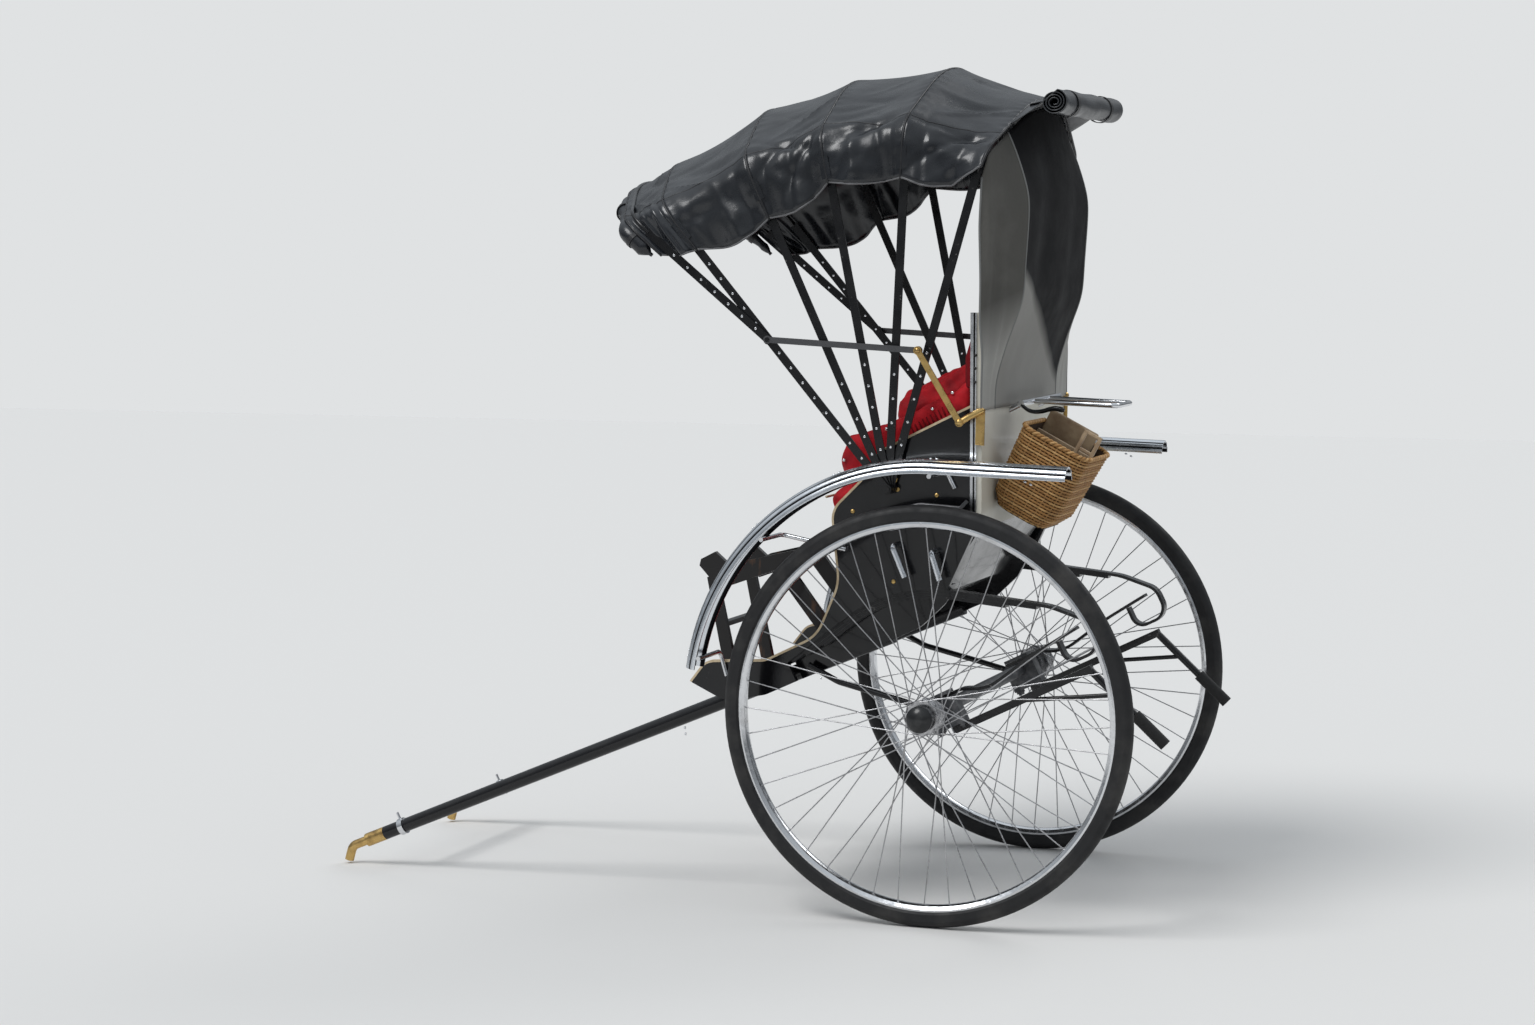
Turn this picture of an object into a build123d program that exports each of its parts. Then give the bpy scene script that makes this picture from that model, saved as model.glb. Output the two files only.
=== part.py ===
from build123d import *
import math
import os

# A pulled rickshaw: two wire wheels on a straight axle, C springs, a lacquered tub body, two shafts and
# a folding hood. Millimetres. It is drawn in its running attitude, with x forward from the axle, y to
# the vehicle's left and z up from the ground, and is then tipped on to its shaft tips, as it parks.

# Wheels. Heights are drawn from the axle's, so a larger wheel only lifts the whole vehicle.
AXLE_Z = 550.0
WHEEL_D = 1100.0
TRACK = 1100.0
TYRE_H = 43.0
TYRE_W = 45.0
TYRE_FOOT_W = 35.0
RIM_H = 18.0
RIM_W = 38.0
SPOKES = 44
SPOKE_D = 3.2
SPOKE_LACE_DEG = 80.0
LACE_GAP = 1.4
FLANGE_R = 46.0
FLANGE_Y = 28.0
FLANGE_T = 4.0
HUB_R = 24.0
HUB_HALF = 40.0
CAP_R = 35.0
CAP_LEN = 26.0

# Axle and springs
AXLE_D = 36.0
JOURNAL_D = 30.0
RUN_CLEAR = 0.05
HUB_END_GAP = 2.0
SPRING_INSET = 30.0
SPRING_W = 36.0
LEAF_T = 8.0
SEAT_GAP = 0.3
CLAMP_W = 46.0
CLAMP_BACK = 48.0
CLAMP_FRONT = 40.0
CLAMP_TOP = 22.0
CLAMP_BOTTOM = 55.0
BRACE_D = 16.0
PROP_BAR_H = 20.0
PROP_LEG_D = 20.0
PROP_FOOT_D = 32.0

# Body
BODY_TO_WHEEL = 130.0
PANEL_T = 18.0
SKIRT_INSET = 54.0
SKIRT_T = 14.0
SHELF_T = 12.0
FLOOR_T = 14.0
FLOOR_Z = 824.0
FLOOR_FRONT_Z = 872.0
SEAT_Z = 1090.0
SEAT_FRONT_X = 44.0
BOARD_T = 14.0
REAR_FOOT = (-300.0, 940.0)
REAR_TOP = (-545.0, 1440.0)
TRIM_W = 12.0
TRIM_T = 6.0
CUSHION_GAP = 0.4
SEAT_PAD_H = 92.0
SEAT_OVERHANG = 34.0
ARM_PAD_W = 70.0
ARM_PAD_H = 210.0
BACK_PAD_H = 246.0
BACK_PAD_T = 190.0

# Shafts
SHAFT_INSET = 90.0
SHAFT_D = 44.0
SHAFT_END_D = 38.0
SHAFT_REAR_X = 60.0
SHAFT_FRONT_X = 1700.0
SHAFT_Z0 = 777.0
SHAFT_RISE = 0.0605
FERRULE_LEN = 62.0
TIP_D = 26.0
CROSSBAR_X = 1610.0
CROSSBAR_D = 26.0

# Fenders
FENDER_W = 76.0
FENDER_T = 4.5
FENDER_CROWN = 36.0
FENDER_GROOVE = 2.0
FENDER_TO_TYRE = 82.0
FENDER_STAY_D = 12.0

# Hood
HOOD_X = -135.0
HOOD_Z = 1128.0
PIVOT_D = 12.0
BOW_PITCH = 6.0
BOW_T = 5.0
BOW_W = 22.0
HOOP_D = 10.0
BOW_OUT = 46.0
ROOF_SLOPE = 25.0
ROOF_R = 600.0
CORNER_R = 90.0
COVER_T = 4.0
COVER_GAP = 0.5
FRONT_COVER_GAP = 2.0
HEM_DROP = 150.0
HEM_SWAG_SHARE = 0.15
COVER_SAG_SHARE = 0.085
PANEL_GAP = 0.6
ROLL_R = 33.0
ROLL_LEG = 1074.0
ROLL_BACK = 112.0
CURTAIN_T = 3.0
CURTAIN_INSET = 110.0
CURTAIN_OUT = 16.0
STAY_W = 16.0
STAY_T = 5.0
STAY_PIN_D = 10.0
STAY_BOW_R = 506.0
STAY_KNUCKLE = (-375.0, 1415.0)
STAY_FOOT = (-395.0, 1200.0)

# Values worked out from those above
WHEEL_R = WHEEL_D / 2
TYRE_IN_R = WHEEL_R - TYRE_H
RIM_IN_R = TYRE_IN_R - RIM_H
BODY_W = TRACK - 2 * BODY_TO_WHEEL
SIDE_IN = BODY_W / 2 - PANEL_T
SKIRT_OUT = BODY_W / 2 - SKIRT_INSET
SPRING_Y = BODY_W / 2 - SPRING_INSET
SHAFT_Y = BODY_W / 2 - SHAFT_INSET
BOW_Y = BODY_W / 2 + BOW_OUT
CURTAIN_HALF = BODY_W / 2 - CURTAIN_INSET
CURTAIN_FRONT_Y = BODY_W / 2 + CURTAIN_OUT
ROLL_HALF = CURTAIN_HALF
FENDER_R = WHEEL_R + FENDER_TO_TYRE
SKIRT_IN = SKIRT_OUT - SKIRT_T

# Bows from front to rear: plane number counted outwards, lean forward of upright in degrees,
# length of leg to the roof corner
BOWS = [("bow_1", 4, 13.9, 966.0),
        ("bow_2", 3, -1.7, 944.0),
        ("bow_3", 2, -15.0, 938.0),
        ("bow_4", 1, -29.0, 947.0),
        ("bow_5", 0, -42.1, 905.0)]
FRONT_BOW_LEAN = 24.0
FRONT_BOW_LEG = 505.0

parts = {}


def box(x0, x1, y0, y1, z0, z1):
    """A box between two values on each axis."""
    return Pos((x0 + x1) / 2, (y0 + y1) / 2, (z0 + z1) / 2) * Box(x1 - x0, y1 - y0, z1 - z0)


def plate(points, radii, y0, y1):
    """An outline in side view, given by its corners (x, z) and their radii, as thick as y0 to y1."""
    if radii is None:
        line = Polyline(*points, close=True)
    else:
        line = FilletPolyline(*points, radius=radii, close=True)
    face = Plane.XZ * make_face(line)
    return Pos(0, y0, 0) * extrude(face, amount=y1 - y0, dir=(0, 1, 0))


def side_path(points, radii, y):
    """A path of straight runs and tangent arcs in side view at one y."""
    corners = [(x, y, z) for x, z in points]
    if len(corners) == 2:
        return Line(*corners)
    return FilletPolyline(*corners, radius=radii)


def strap(points, radii, y, width, thick):
    """A flat bar along a path in side view, its width across the vehicle."""
    path = side_path(points, radii, y)
    start = Plane(origin=path @ 0, x_dir=(0, 1, 0), z_dir=path % 0)
    return sweep(start * Rectangle(width, thick), path=path)


def rod(corners, radii, diameter):
    """A round bar along straight runs and tangent arcs in space."""
    path = Line(*corners) if len(corners) == 2 else FilletPolyline(*corners, radius=radii)
    start = Plane(origin=path @ 0, z_dir=path % 0)
    return sweep(start * Circle(diameter / 2), path=path)


def shifted(points, distance):
    """The corners of an open outline moved sideways, to the left of its direction."""
    moved = []
    for i, (x, z) in enumerate(points):
        normals = []
        for a, b in ((i - 1, i), (i, i + 1)):
            if a >= 0 and b < len(points):
                dx, dz = points[b][0] - points[a][0], points[b][1] - points[a][1]
                run = math.hypot(dx, dz)
                normals.append((-dz / run, dx / run))
        nx = sum(n[0] for n in normals) / len(normals)
        nz = sum(n[1] for n in normals) / len(normals)
        scale = distance / (nx * nx + nz * nz)
        moved.append((x + nx * scale, z + nz * scale))
    return moved


def parallel(points, radii, distance):
    """An open outline moved sideways, to the left of its direction, with radii that keep it parallel."""
    changed = []
    for (ax, az), (bx, bz), (cx, cz), radius in zip(points, points[1:], points[2:], radii):
        turn = (bx - ax) * (cz - bz) - (bz - az) * (cx - bx)
        changed.append(radius - (distance if turn > 0 else -distance))
    return shifted(points, distance), changed


def between(a, b, share):
    """The point part of the way from a to b."""
    return tuple(p + (q - p) * share for p, q in zip(a, b))


def both(piece):
    """A piece and its mirror image on the other side."""
    return Compound([*piece.solids(), *mirror(piece, about=Plane.XZ).solids()])


def pair(name, piece):
    """A left piece and its mirrored right piece, as two nodes."""
    parts[name + "_left"] = piece
    parts[name + "_right"] = mirror(piece, about=Plane.XZ)


# Wheels, drawn about their own axis with y outwards from the middle plane


def turned(profile):
    """A closed profile of (radius, y) corners turned about the wheel's axis."""
    return revolve(make_face(profile), axis=Axis.Y)


def tyre():
    half, foot = TYRE_W / 2, TYRE_FOOT_W / 2
    shoulder = WHEEL_R - 18
    bead = TYRE_IN_R + 6
    outline = [Line((TYRE_IN_R, -foot), (bead, -half)), Line((bead, -half), (shoulder, -half)),
               ThreePointArc((shoulder, -half), (WHEEL_R, 0), (shoulder, half)),
               Line((shoulder, half), (bead, half)), Line((bead, half), (TYRE_IN_R, foot)),
               Line((TYRE_IN_R, foot), (TYRE_IN_R, -foot))]
    return turned(Curve() + outline)


def rim():
    bed = TYRE_IN_R - SEAT_GAP
    foot, half = TYRE_FOOT_W / 2, RIM_W / 2
    lip, well = bed - 5, RIM_IN_R + 4
    outline = [Line((bed, -foot), (bed, foot)), Line((bed, foot), (lip, half)),
               Line((lip, half), (well, half - 5)),
               ThreePointArc((well, half - 5), (RIM_IN_R, 0), (well, 5 - half)),
               Line((well, 5 - half), (lip, -half)), Line((lip, -half), (bed, -foot))]
    return turned(Curve() + outline)


def hub():
    low, high = FLANGE_Y - FLANGE_T / 2, FLANGE_Y + FLANGE_T / 2
    bore = JOURNAL_D / 2 + RUN_CLEAR
    face = HUB_HALF + 4
    steps = [(bore, -HUB_HALF), (HUB_R + 4, -HUB_HALF), (HUB_R + 4, -high), (FLANGE_R, -high),
             (FLANGE_R, -low), (HUB_R, -low + 8), (HUB_R, low - 8), (FLANGE_R, low), (FLANGE_R, high),
             (CAP_R - 4, high), (CAP_R - 4, face), (0, face), (0, HUB_HALF), (bore, HUB_HALF)]
    return turned(Polyline(*steps, close=True))


def hub_cap():
    face = HUB_HALF + 4 + SEAT_GAP
    dome = CAP_LEN - 8
    ball_r = (CAP_R ** 2 + dome ** 2) / (2 * dome)
    half = math.asin(CAP_R / ball_r) / 2
    middle = (ball_r * math.sin(half), face + CAP_LEN - ball_r * (1 - math.cos(half)))
    outline = [Line((0, face), (CAP_R, face)), Line((CAP_R, face), (CAP_R, face + 8)),
               ThreePointArc((CAP_R, face + 8), middle, (0, face + CAP_LEN)),
               Line((0, face + CAP_LEN), (0, face))]
    return turned(Curve() + outline)


def spokes():
    """Spokes laced tangentially from both faces of both flanges, alternating along the rim."""
    root_r, end_r = FLANGE_R - 3, RIM_IN_R - SEAT_GAP - 0.5
    made = []
    for i in range(SPOKES):
        side = 1 if i % 2 == 0 else -1
        lead = 1 if (i // 2) % 2 == 0 else -1
        rim_angle = math.radians(360 / SPOKES * i)
        hub_angle = rim_angle - lead * math.radians(SPOKE_LACE_DEG)
        stand_off = (FLANGE_T + SPOKE_D) / 2 + LACE_GAP
        root = Vector(root_r * math.cos(hub_angle), side * (FLANGE_Y + lead * stand_off),
                      root_r * math.sin(hub_angle))
        end = Vector(end_r * math.cos(rim_angle), side * 3, end_r * math.sin(rim_angle))
        run = end - root
        made.append(Plane(origin=root, z_dir=run) * Pos(0, 0, run.length / 2)
                    * Cylinder(SPOKE_D / 2, run.length))
    return Compound([solid for piece in made for solid in piece.solids()])


WHEEL_NODES = []
for name, make in (("tyre", tyre), ("rim", rim), ("hub", hub), ("hub_cap", hub_cap), ("spokes", spokes)):
    left = Pos(0, TRACK / 2, AXLE_Z) * make()
    parts[name + "_left"] = left
    parts[name + "_right"] = mirror(left, about=Plane.XZ)
    WHEEL_NODES += [name + "_left", name + "_right"]

# Axle, springs, braces and the props behind

shoulder_y = TRACK / 2 - HUB_HALF - HUB_END_GAP
journal_end = TRACK / 2 + HUB_HALF - HUB_END_GAP
axle_line = Pos(0, 0, AXLE_Z) * Rot(90, 0, 0)
parts["axle"] = (axle_line * Cylinder(AXLE_D / 2, 2 * shoulder_y)
                 + axle_line * Cylinder(JOURNAL_D / 2, 2 * journal_end))

leaf_bed = AXLE_Z + CLAMP_TOP
leaf_line = leaf_bed + LEAF_T / 2
leaf_points = [(CLAMP_FRONT - 6, leaf_line), (-75, leaf_line), (-140, 548), (-290, 580), (-425, 596)]
leaf_slope = (leaf_points[-1][1] - leaf_points[-2][1]) / (leaf_points[-1][0] - leaf_points[-2][0])
leaf = strap(leaf_points, [60, 120, 500], SPRING_Y, SPRING_W, LEAF_T)
parts["lower_leaves"] = both(leaf)

clamp = box(-CLAMP_BACK, CLAMP_FRONT, SPRING_Y - CLAMP_W / 2, SPRING_Y + CLAMP_W / 2,
            AXLE_Z - CLAMP_BOTTOM, leaf_bed - SEAT_GAP)
clamp -= axle_line * Pos(0, 0, -SPRING_Y) * Cylinder(AXLE_D / 2 + RUN_CLEAR, CLAMP_W + 10)
clamp_cap = box(-CLAMP_BACK + 8, CLAMP_FRONT - 8, SPRING_Y - CLAMP_W / 2, SPRING_Y + CLAMP_W / 2,
                leaf_bed + LEAF_T + SEAT_GAP, leaf_bed + LEAF_T + 9)
parts["axle_clamps"] = both(clamp + clamp_cap)

scroll_x = -365.0
leaf_low = leaf_points[-1][1] + leaf_slope * (scroll_x + LEAF_T / 2 - leaf_points[-1][0])
leaf_low -= LEAF_T / 2 * math.hypot(1, leaf_slope)
scroll_end = (scroll_x, leaf_low - SEAT_GAP)
spring_points = [(325, 828), (-30, 900), (-385, 675), (-462, 600), (-462, 520), (-365, 520), scroll_end]
spring_radii = [400, 200, 50, 40, 32]
main_leaf = strap(spring_points, spring_radii, SPRING_Y, SPRING_W, LEAF_T)
under = []
for step, front, rear in ((1, 0.12, 0.92), (2, 0.28, 0.72)):
    line, radius = parallel(spring_points[:3], spring_radii[:1], step * (LEAF_T + SEAT_GAP))
    line = [between(line[0], line[1], front), line[1], between(line[1], line[2], rear)]
    under.append(strap(line, radius, SPRING_Y, SPRING_W, LEAF_T))
parts["c_springs"] = both(Compound([main_leaf.solid(), *[leaf.solid() for leaf in under]]))

brace = rod([(292, SPRING_Y, 803), (235, SPRING_Y, 728), (104, SPRING_Y, 620),
             (CLAMP_FRONT + SEAT_GAP, SPRING_Y, 566)], [90, 300], BRACE_D)
brace -= box(0, CLAMP_FRONT + SEAT_GAP, SPRING_Y - CLAMP_W / 2, SPRING_Y + CLAMP_W / 2, AXLE_Z - 30, 640)
parts["front_braces"] = both(brace)

bar_top = AXLE_Z - CLAMP_BOTTOM - SEAT_GAP
bar_mid = bar_top - PROP_BAR_H / 2
prop_bar = box(-416, -6, SPRING_Y - 13, SPRING_Y + 13, bar_top - PROP_BAR_H, bar_top)
leg_top, leg_end = (-408.0, bar_mid), (-503.0, 236.0)
prop_leg = rod([(*leg_top[:1], SPRING_Y, leg_top[1]), (leg_end[0], SPRING_Y, leg_end[1])], None, PROP_LEG_D)
prop_tie = rod([(-205, SPRING_Y, bar_mid), (-436, SPRING_Y, 400)], None, 12)
parts["props"] = both(prop_bar + prop_leg + prop_tie)
foot_top = between(leg_top, leg_end, 0.62)
foot_end = between(leg_top, leg_end, 1.03)
foot = rod([(foot_top[0], SPRING_Y, foot_top[1]), (foot_end[0], SPRING_Y, foot_end[1])], None, PROP_FOOT_D)
foot -= rod([(leg_top[0], SPRING_Y, leg_top[1]), (leg_end[0], SPRING_Y, leg_end[1])], None,
            PROP_LEG_D + 2 * RUN_CLEAR)
parts["prop_feet"] = both(foot)

# Tub body

SIDE_TOP = [((609, 893), 2), ((545, 924), 45), ((390, 858), 60), ((225, 858), 110), ((105, 960), 120),
            ((38, 1142), 60), ((-75, 1180), 60), ((-150, 1226), 40)]
SIDE_LOW = [((-122, 797), 60), ((-28, 767), 120), ((430, 778), 80), ((545, 812), 60)]
rear_dx = REAR_TOP[0] - REAR_FOOT[0]
rear_dz = REAR_TOP[1] - REAR_FOOT[1]
arm_z = SIDE_TOP[-1][0][1]
arm_rear = REAR_FOOT[0] + rear_dx * (arm_z - REAR_FOOT[1]) / rear_dz
outline = SIDE_TOP + [((arm_rear, arm_z), 3), (REAR_FOOT, 3)] + SIDE_LOW
corners = [point for point, _ in outline]
radii = [radius for _, radius in outline]
shelf_low = parallel(spring_points[:3], spring_radii[:1], -(LEAF_T / 2 + SEAT_GAP))
shelf_high = parallel(spring_points[:3], spring_radii[:1], -(LEAF_T / 2 + SEAT_GAP + SHELF_T))
front_x = spring_points[0][0] + 8


def under_line(line, y0, y1):
    """All that lies below one of the spring's parallel lines, behind the spring's front end."""
    (first, crown, end), (radius,) = line
    share = (front_x - crown[0]) / (first[0] - crown[0])
    path = [between(crown, first, share), crown, end, (end[0], 600), (front_x, 600)]
    return plate(path, [0.2, radius, 0.2, 0.2, 0.2], y0, y1)


upper = plate(corners, radii, SIDE_IN, BODY_W / 2) - under_line(shelf_low, SIDE_IN - 1, BODY_W / 2 + 1)
skirt = plate(corners, radii, SKIRT_IN, SKIRT_OUT) & under_line(shelf_high, SKIRT_IN - 1, SKIRT_OUT + 1)
shelf = plate(corners, radii, SKIRT_OUT, SIDE_IN)
shelf &= under_line(shelf_high, SKIRT_OUT - 1, SIDE_IN + 1)
shelf -= under_line(shelf_low, SKIRT_OUT - 1, SIDE_IN + 1)
pair("side", upper + shelf + skirt)

trim_points, trim_radii = parallel(corners[:len(SIDE_TOP) + 1], radii[1:len(SIDE_TOP)],
                                   -(TRIM_T / 2 + SEAT_GAP))
trim = strap(trim_points, trim_radii, BODY_W / 2 - TRIM_W / 2, TRIM_W, TRIM_T)
parts["edge_trims"] = both(trim)

floor_in = SKIRT_IN - SEAT_GAP
wide_in = SIDE_IN - SEAT_GAP
floor_rear_x = -100.0
floor_front = (585.0, FLOOR_FRONT_Z)
flat_floor = box(floor_rear_x, front_x, -floor_in, floor_in, FLOOR_Z, FLOOR_Z + FLOOR_T)
toe_floor = plate([(front_x, FLOOR_Z), (floor_front[0], floor_front[1] - FLOOR_T), floor_front,
                   (front_x, FLOOR_Z + FLOOR_T)], None, -wide_in, wide_in)
parts["floor"] = flat_floor + toe_floor

floor_top = FLOOR_Z + FLOOR_T
riser = box(SEAT_FRONT_X - BOARD_T, SEAT_FRONT_X, -floor_in, floor_in, floor_top + SEAT_GAP, SEAT_Z)


def rear_x(z):
    """The x of the rear edge line of the sides at height z."""
    return REAR_FOOT[0] + rear_dx * (z - REAR_FOOT[1]) / rear_dz


seat_top = SEAT_Z + BOARD_T
seat_rear = rear_x(SEAT_Z) + SEAT_GAP
seat = box(seat_rear, SEAT_FRONT_X + 6, -wide_in, wide_in, SEAT_Z, seat_top)
parts["seat_box"] = riser + seat

back_face = [(REAR_FOOT[0] - SEAT_GAP, REAR_FOOT[1]), (REAR_TOP[0] - SEAT_GAP, REAR_TOP[1])]
back_line = shifted(back_face, BOARD_T / 2)
parts["back_panel"] = strap(back_line, None, 0, BODY_W, BOARD_T)

tail_rear = (REAR_FOOT[0] + SEAT_GAP, REAR_FOOT[1] + 1)
tail = plate([(floor_rear_x - SEAT_GAP, FLOOR_Z + 1), (floor_rear_x - SEAT_GAP, FLOOR_Z + FLOOR_T),
              (rear_x(tail_rear[1] + FLOOR_T) + SEAT_GAP, tail_rear[1] + FLOOR_T), tail_rear],
             None, -floor_in, floor_in)
parts["tail_panel"] = tail

strip_line = shifted(back_face, -8)
strip = strap(strip_line, None, BODY_W / 2 + 2 + SEAT_GAP, 4, 16)
parts["rear_strips"] = both(strip)

# Cushions

pad_in = SIDE_IN - ARM_PAD_W
pad_foot = seat_top + CUSHION_GAP
back_rear = rear_x(seat_top) + 4
back_front = back_rear + BACK_PAD_T
seat_pad = box(back_front + CUSHION_GAP, SEAT_FRONT_X + SEAT_OVERHANG, -(pad_in - CUSHION_GAP),
               pad_in - CUSHION_GAP, pad_foot, seat_top + SEAT_PAD_H)
parts["seat_cushion"] = fillet(seat_pad.edges().group_by(Axis.Z)[-1], 22)

arm_front = SEAT_FRONT_X - 52
arm_top = seat_top + ARM_PAD_H
arm_pad = plate([(arm_front, pad_foot), (arm_front, arm_top - 62), (arm_front - 52, arm_top),
                 (arm_front - 246, arm_top - 12), (rear_x(arm_top - 12) + 4, arm_top - 12),
                 (back_rear, pad_foot)],
                [8, 24, 24, 30, 2, 2], pad_in + CUSHION_GAP, SIDE_IN - CUSHION_GAP)
parts["arm_pads"] = both(arm_pad)

back_top = seat_top + BACK_PAD_H
back_pad = plate([(back_rear, pad_foot), (rear_x(back_top) + 4, back_top), (back_front - 24, back_top),
                  (back_front, back_top - 50), (back_front, pad_foot)],
                 [2, 12, 30, 30, 2], -(pad_in - CUSHION_GAP), pad_in - CUSHION_GAP)
parts["back_cushion"] = back_pad

# Shafts


def shaft_z(x):
    """Height of the shaft's centre line."""
    return SHAFT_Z0 + SHAFT_RISE * x


def on_shaft(x):
    """A plane square to the left shaft at x."""
    return Plane(origin=(x, SHAFT_Y, shaft_z(x)), z_dir=(1, 0, SHAFT_RISE))


thick = on_shaft(SHAFT_REAR_X) * Circle(SHAFT_D / 2)
thin = on_shaft(SHAFT_FRONT_X) * Circle(SHAFT_END_D / 2)
pair("shaft", loft([thick, thin]))

saddle_pieces = []
for saddle_x in (100.0, 280.0, 560.0):
    top = FLOOR_Z if saddle_x < front_x else (FLOOR_Z + (floor_front[1] - FLOOR_T - FLOOR_Z)
                                              * (saddle_x - 22 - front_x) / (floor_front[0] - front_x))
    block = box(saddle_x - 22, saddle_x + 22, SHAFT_Y - 20, SHAFT_Y + 20, shaft_z(saddle_x), top - SEAT_GAP)
    share = (saddle_x - SHAFT_REAR_X) / (SHAFT_FRONT_X - SHAFT_REAR_X)
    bore = SHAFT_D / 2 + (SHAFT_END_D - SHAFT_D) / 2 * (share - 0.03) + RUN_CLEAR
    hole = on_shaft(saddle_x) * Cylinder(bore, 80)
    saddle_pieces.append(block - hole)
parts["shaft_saddles"] = both(Compound([solid for block in saddle_pieces for solid in block.solids()]))

run = math.hypot(1, SHAFT_RISE)
ferrule_x = SHAFT_FRONT_X + SEAT_GAP
ferrule = on_shaft(ferrule_x) * Pos(0, 0, FERRULE_LEN / 2) * Cylinder(SHAFT_END_D / 2, FERRULE_LEN)
tip_start = ferrule_x + FERRULE_LEN / run
tip = rod([(tip_start, SHAFT_Y, shaft_z(tip_start)), (tip_start + 52, SHAFT_Y, shaft_z(tip_start + 52)),
           (tip_start + 80, SHAFT_Y, shaft_z(tip_start) - 28)], [28], TIP_D)
parts["shaft_tips"] = both(ferrule + tip)

band_x = 1640.0
band_r = SHAFT_END_D / 2 + 0.6
band = on_shaft(band_x) * (Cylinder(band_r + 4, 16) - Cylinder(band_r, 20))
pin = Pos(band_x, SHAFT_Y, shaft_z(band_x) + band_r + 12) * Cylinder(4, 22)
parts["shaft_bands"] = both(band + pin)

bar_r = CROSSBAR_D / 2
bar_z = shaft_z(CROSSBAR_X)
crossbar = Pos(CROSSBAR_X, 0, bar_z) * Rot(90, 0, 0) * Cylinder(bar_r, 2 * SHAFT_Y)
shaft_hole = on_shaft(CROSSBAR_X) * Cylinder(SHAFT_END_D / 2 + 0.7, 120)
parts["crossbar"] = crossbar - shaft_hole - mirror(shaft_hole, about=Plane.XZ)

# Fenders

fender_front, fender_rear = math.radians(35), math.radians(118)
front_point = (FENDER_R * math.cos(fender_front), AXLE_Z + FENDER_R * math.sin(fender_front))
rear_point = (FENDER_R * math.cos(fender_rear), AXLE_Z + FENDER_R * math.sin(fender_rear))
tail_dir = (math.cos(fender_rear + math.pi / 2), math.sin(fender_rear + math.pi / 2))
top_point = (FENDER_R * math.cos(math.radians(78)), AXLE_Z + FENDER_R * math.sin(math.radians(78)))
fender_path = Curve() + [
    ThreePointArc((front_point[0], TRACK / 2, front_point[1]), (top_point[0], TRACK / 2, top_point[1]),
                  (rear_point[0], TRACK / 2, rear_point[1])),
    Line((rear_point[0], TRACK / 2, rear_point[1]),
         (rear_point[0] + tail_dir[0] * 355, TRACK / 2, rear_point[1] + tail_dir[1] * 355))]


def fender_section():
    """A thin round-backed channel whose outer face is rolled into ribs with a groove between each two."""
    half, groove = FENDER_W / 2, (0, 30, 60, 120, 150, 180)

    def spot(degrees, depth):
        """A point of the outer face, in from its oval by a depth."""
        a = math.radians(degrees)
        return (half - depth) * math.cos(a), (FENDER_CROWN - depth) * math.sin(a)

    ribs = []
    for low, high in zip(groove, groove[1:]):
        ends = [spot(a, FENDER_GROOVE if 0 < a < 180 else 0) for a in (low, high)]
        ribs.append(ThreePointArc(ends[0], spot((low + high) / 2, 0), ends[1]))
    wall = half - FENDER_T
    inner = [Line((-half, 0), (-wall, 0)), ThreePointArc((-wall, 0), (0, FENDER_CROWN - FENDER_T), (wall, 0)),
             Line((wall, 0), (half, 0))]
    return make_face(Curve() + ribs + inner)


fender_start = Plane(origin=fender_path @ 0, x_dir=(0, -1, 0), z_dir=fender_path % 0)
fender = sweep(fender_start * fender_section(), path=Wire(fender_path.edges()))
pair("fender", fender)

# Fender stays: place along the fender in degrees, and the foot (x, z) on the side
FENDER_STAYS = [(38, (505, 868)),
                (72, (48, 1035)),
                (118, (-294, 1055))]
stay_y = BODY_W / 2 + SEAT_GAP + FENDER_STAY_D / 2
stay_rods = []
for angle, (foot_x, foot_z) in FENDER_STAYS:
    a = math.radians(angle)
    r = FENDER_R - SEAT_GAP - FENDER_STAY_D / 2
    stay_x, stay_z = r * math.cos(a), AXLE_Z + r * math.sin(a)
    stay_rods.append(rod([(stay_x, TRACK / 2 + FENDER_W / 2, stay_z), (stay_x, stay_y, stay_z),
                          (foot_x, stay_y, foot_z)], [16], FENDER_STAY_D))
parts["fender_stays"] = both(Compound([stay.solid() for stay in stay_rods]))

# Hood: bows on one pivot each side, jointed stays, cover in sewn panels between the bows


def bow_plane(lean, origin=(HOOD_X, HOOD_Z)):
    """The plane that holds a bow: first axis across the vehicle, second along its legs."""
    a = math.radians(lean)
    return Plane(origin=(origin[0], 0, origin[1]), x_dir=(0, 1, 0), z_dir=(math.cos(a), 0, -math.sin(a)))


def roof_points(leg_y, leg, foot):
    """Corners of a bow: foot, roof corner, crown and the same mirrored."""
    slope = math.tan(math.radians(ROOF_SLOPE))
    corner = (leg_y, leg + (BOW_Y - leg_y) * slope)
    crown = (0, leg + BOW_Y * slope)
    return [(leg_y, foot), corner, crown, (-corner[0], corner[1]), (-leg_y, foot)]


def bow(leg_y, leg, plane, foot):
    """A bow of flat bar with a round eye at each foot."""
    points = roof_points(leg_y, leg, foot)
    spring_line = points[1][1] - CORNER_R * math.tan(math.radians(45 - ROOF_SLOPE / 2)) - 8
    points[0], points[-1] = (leg_y, spring_line), (-leg_y, spring_line)
    path = FilletPolyline(*points, radius=[CORNER_R, ROOF_R, CORNER_R])
    start = Plane(origin=path @ 0, z_dir=path % 0)
    hoop = sweep(start * Circle(HOOP_D / 2), path=path)
    for side in (1, -1):
        hoop += Pos(side * leg_y, (foot + spring_line) / 2 + 2, 0) * Box(BOW_T, spring_line - foot + 4, BOW_W)
        eye = Pos(side * leg_y, 0, 0) * Rot(0, 90, 0)
        hoop += eye * Cylinder(BOW_W / 2 + 2, BOW_T)
        hoop -= eye * Cylinder(PIVOT_D / 2 + RUN_CLEAR, BOW_T + 4)
    return plane * hoop


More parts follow.
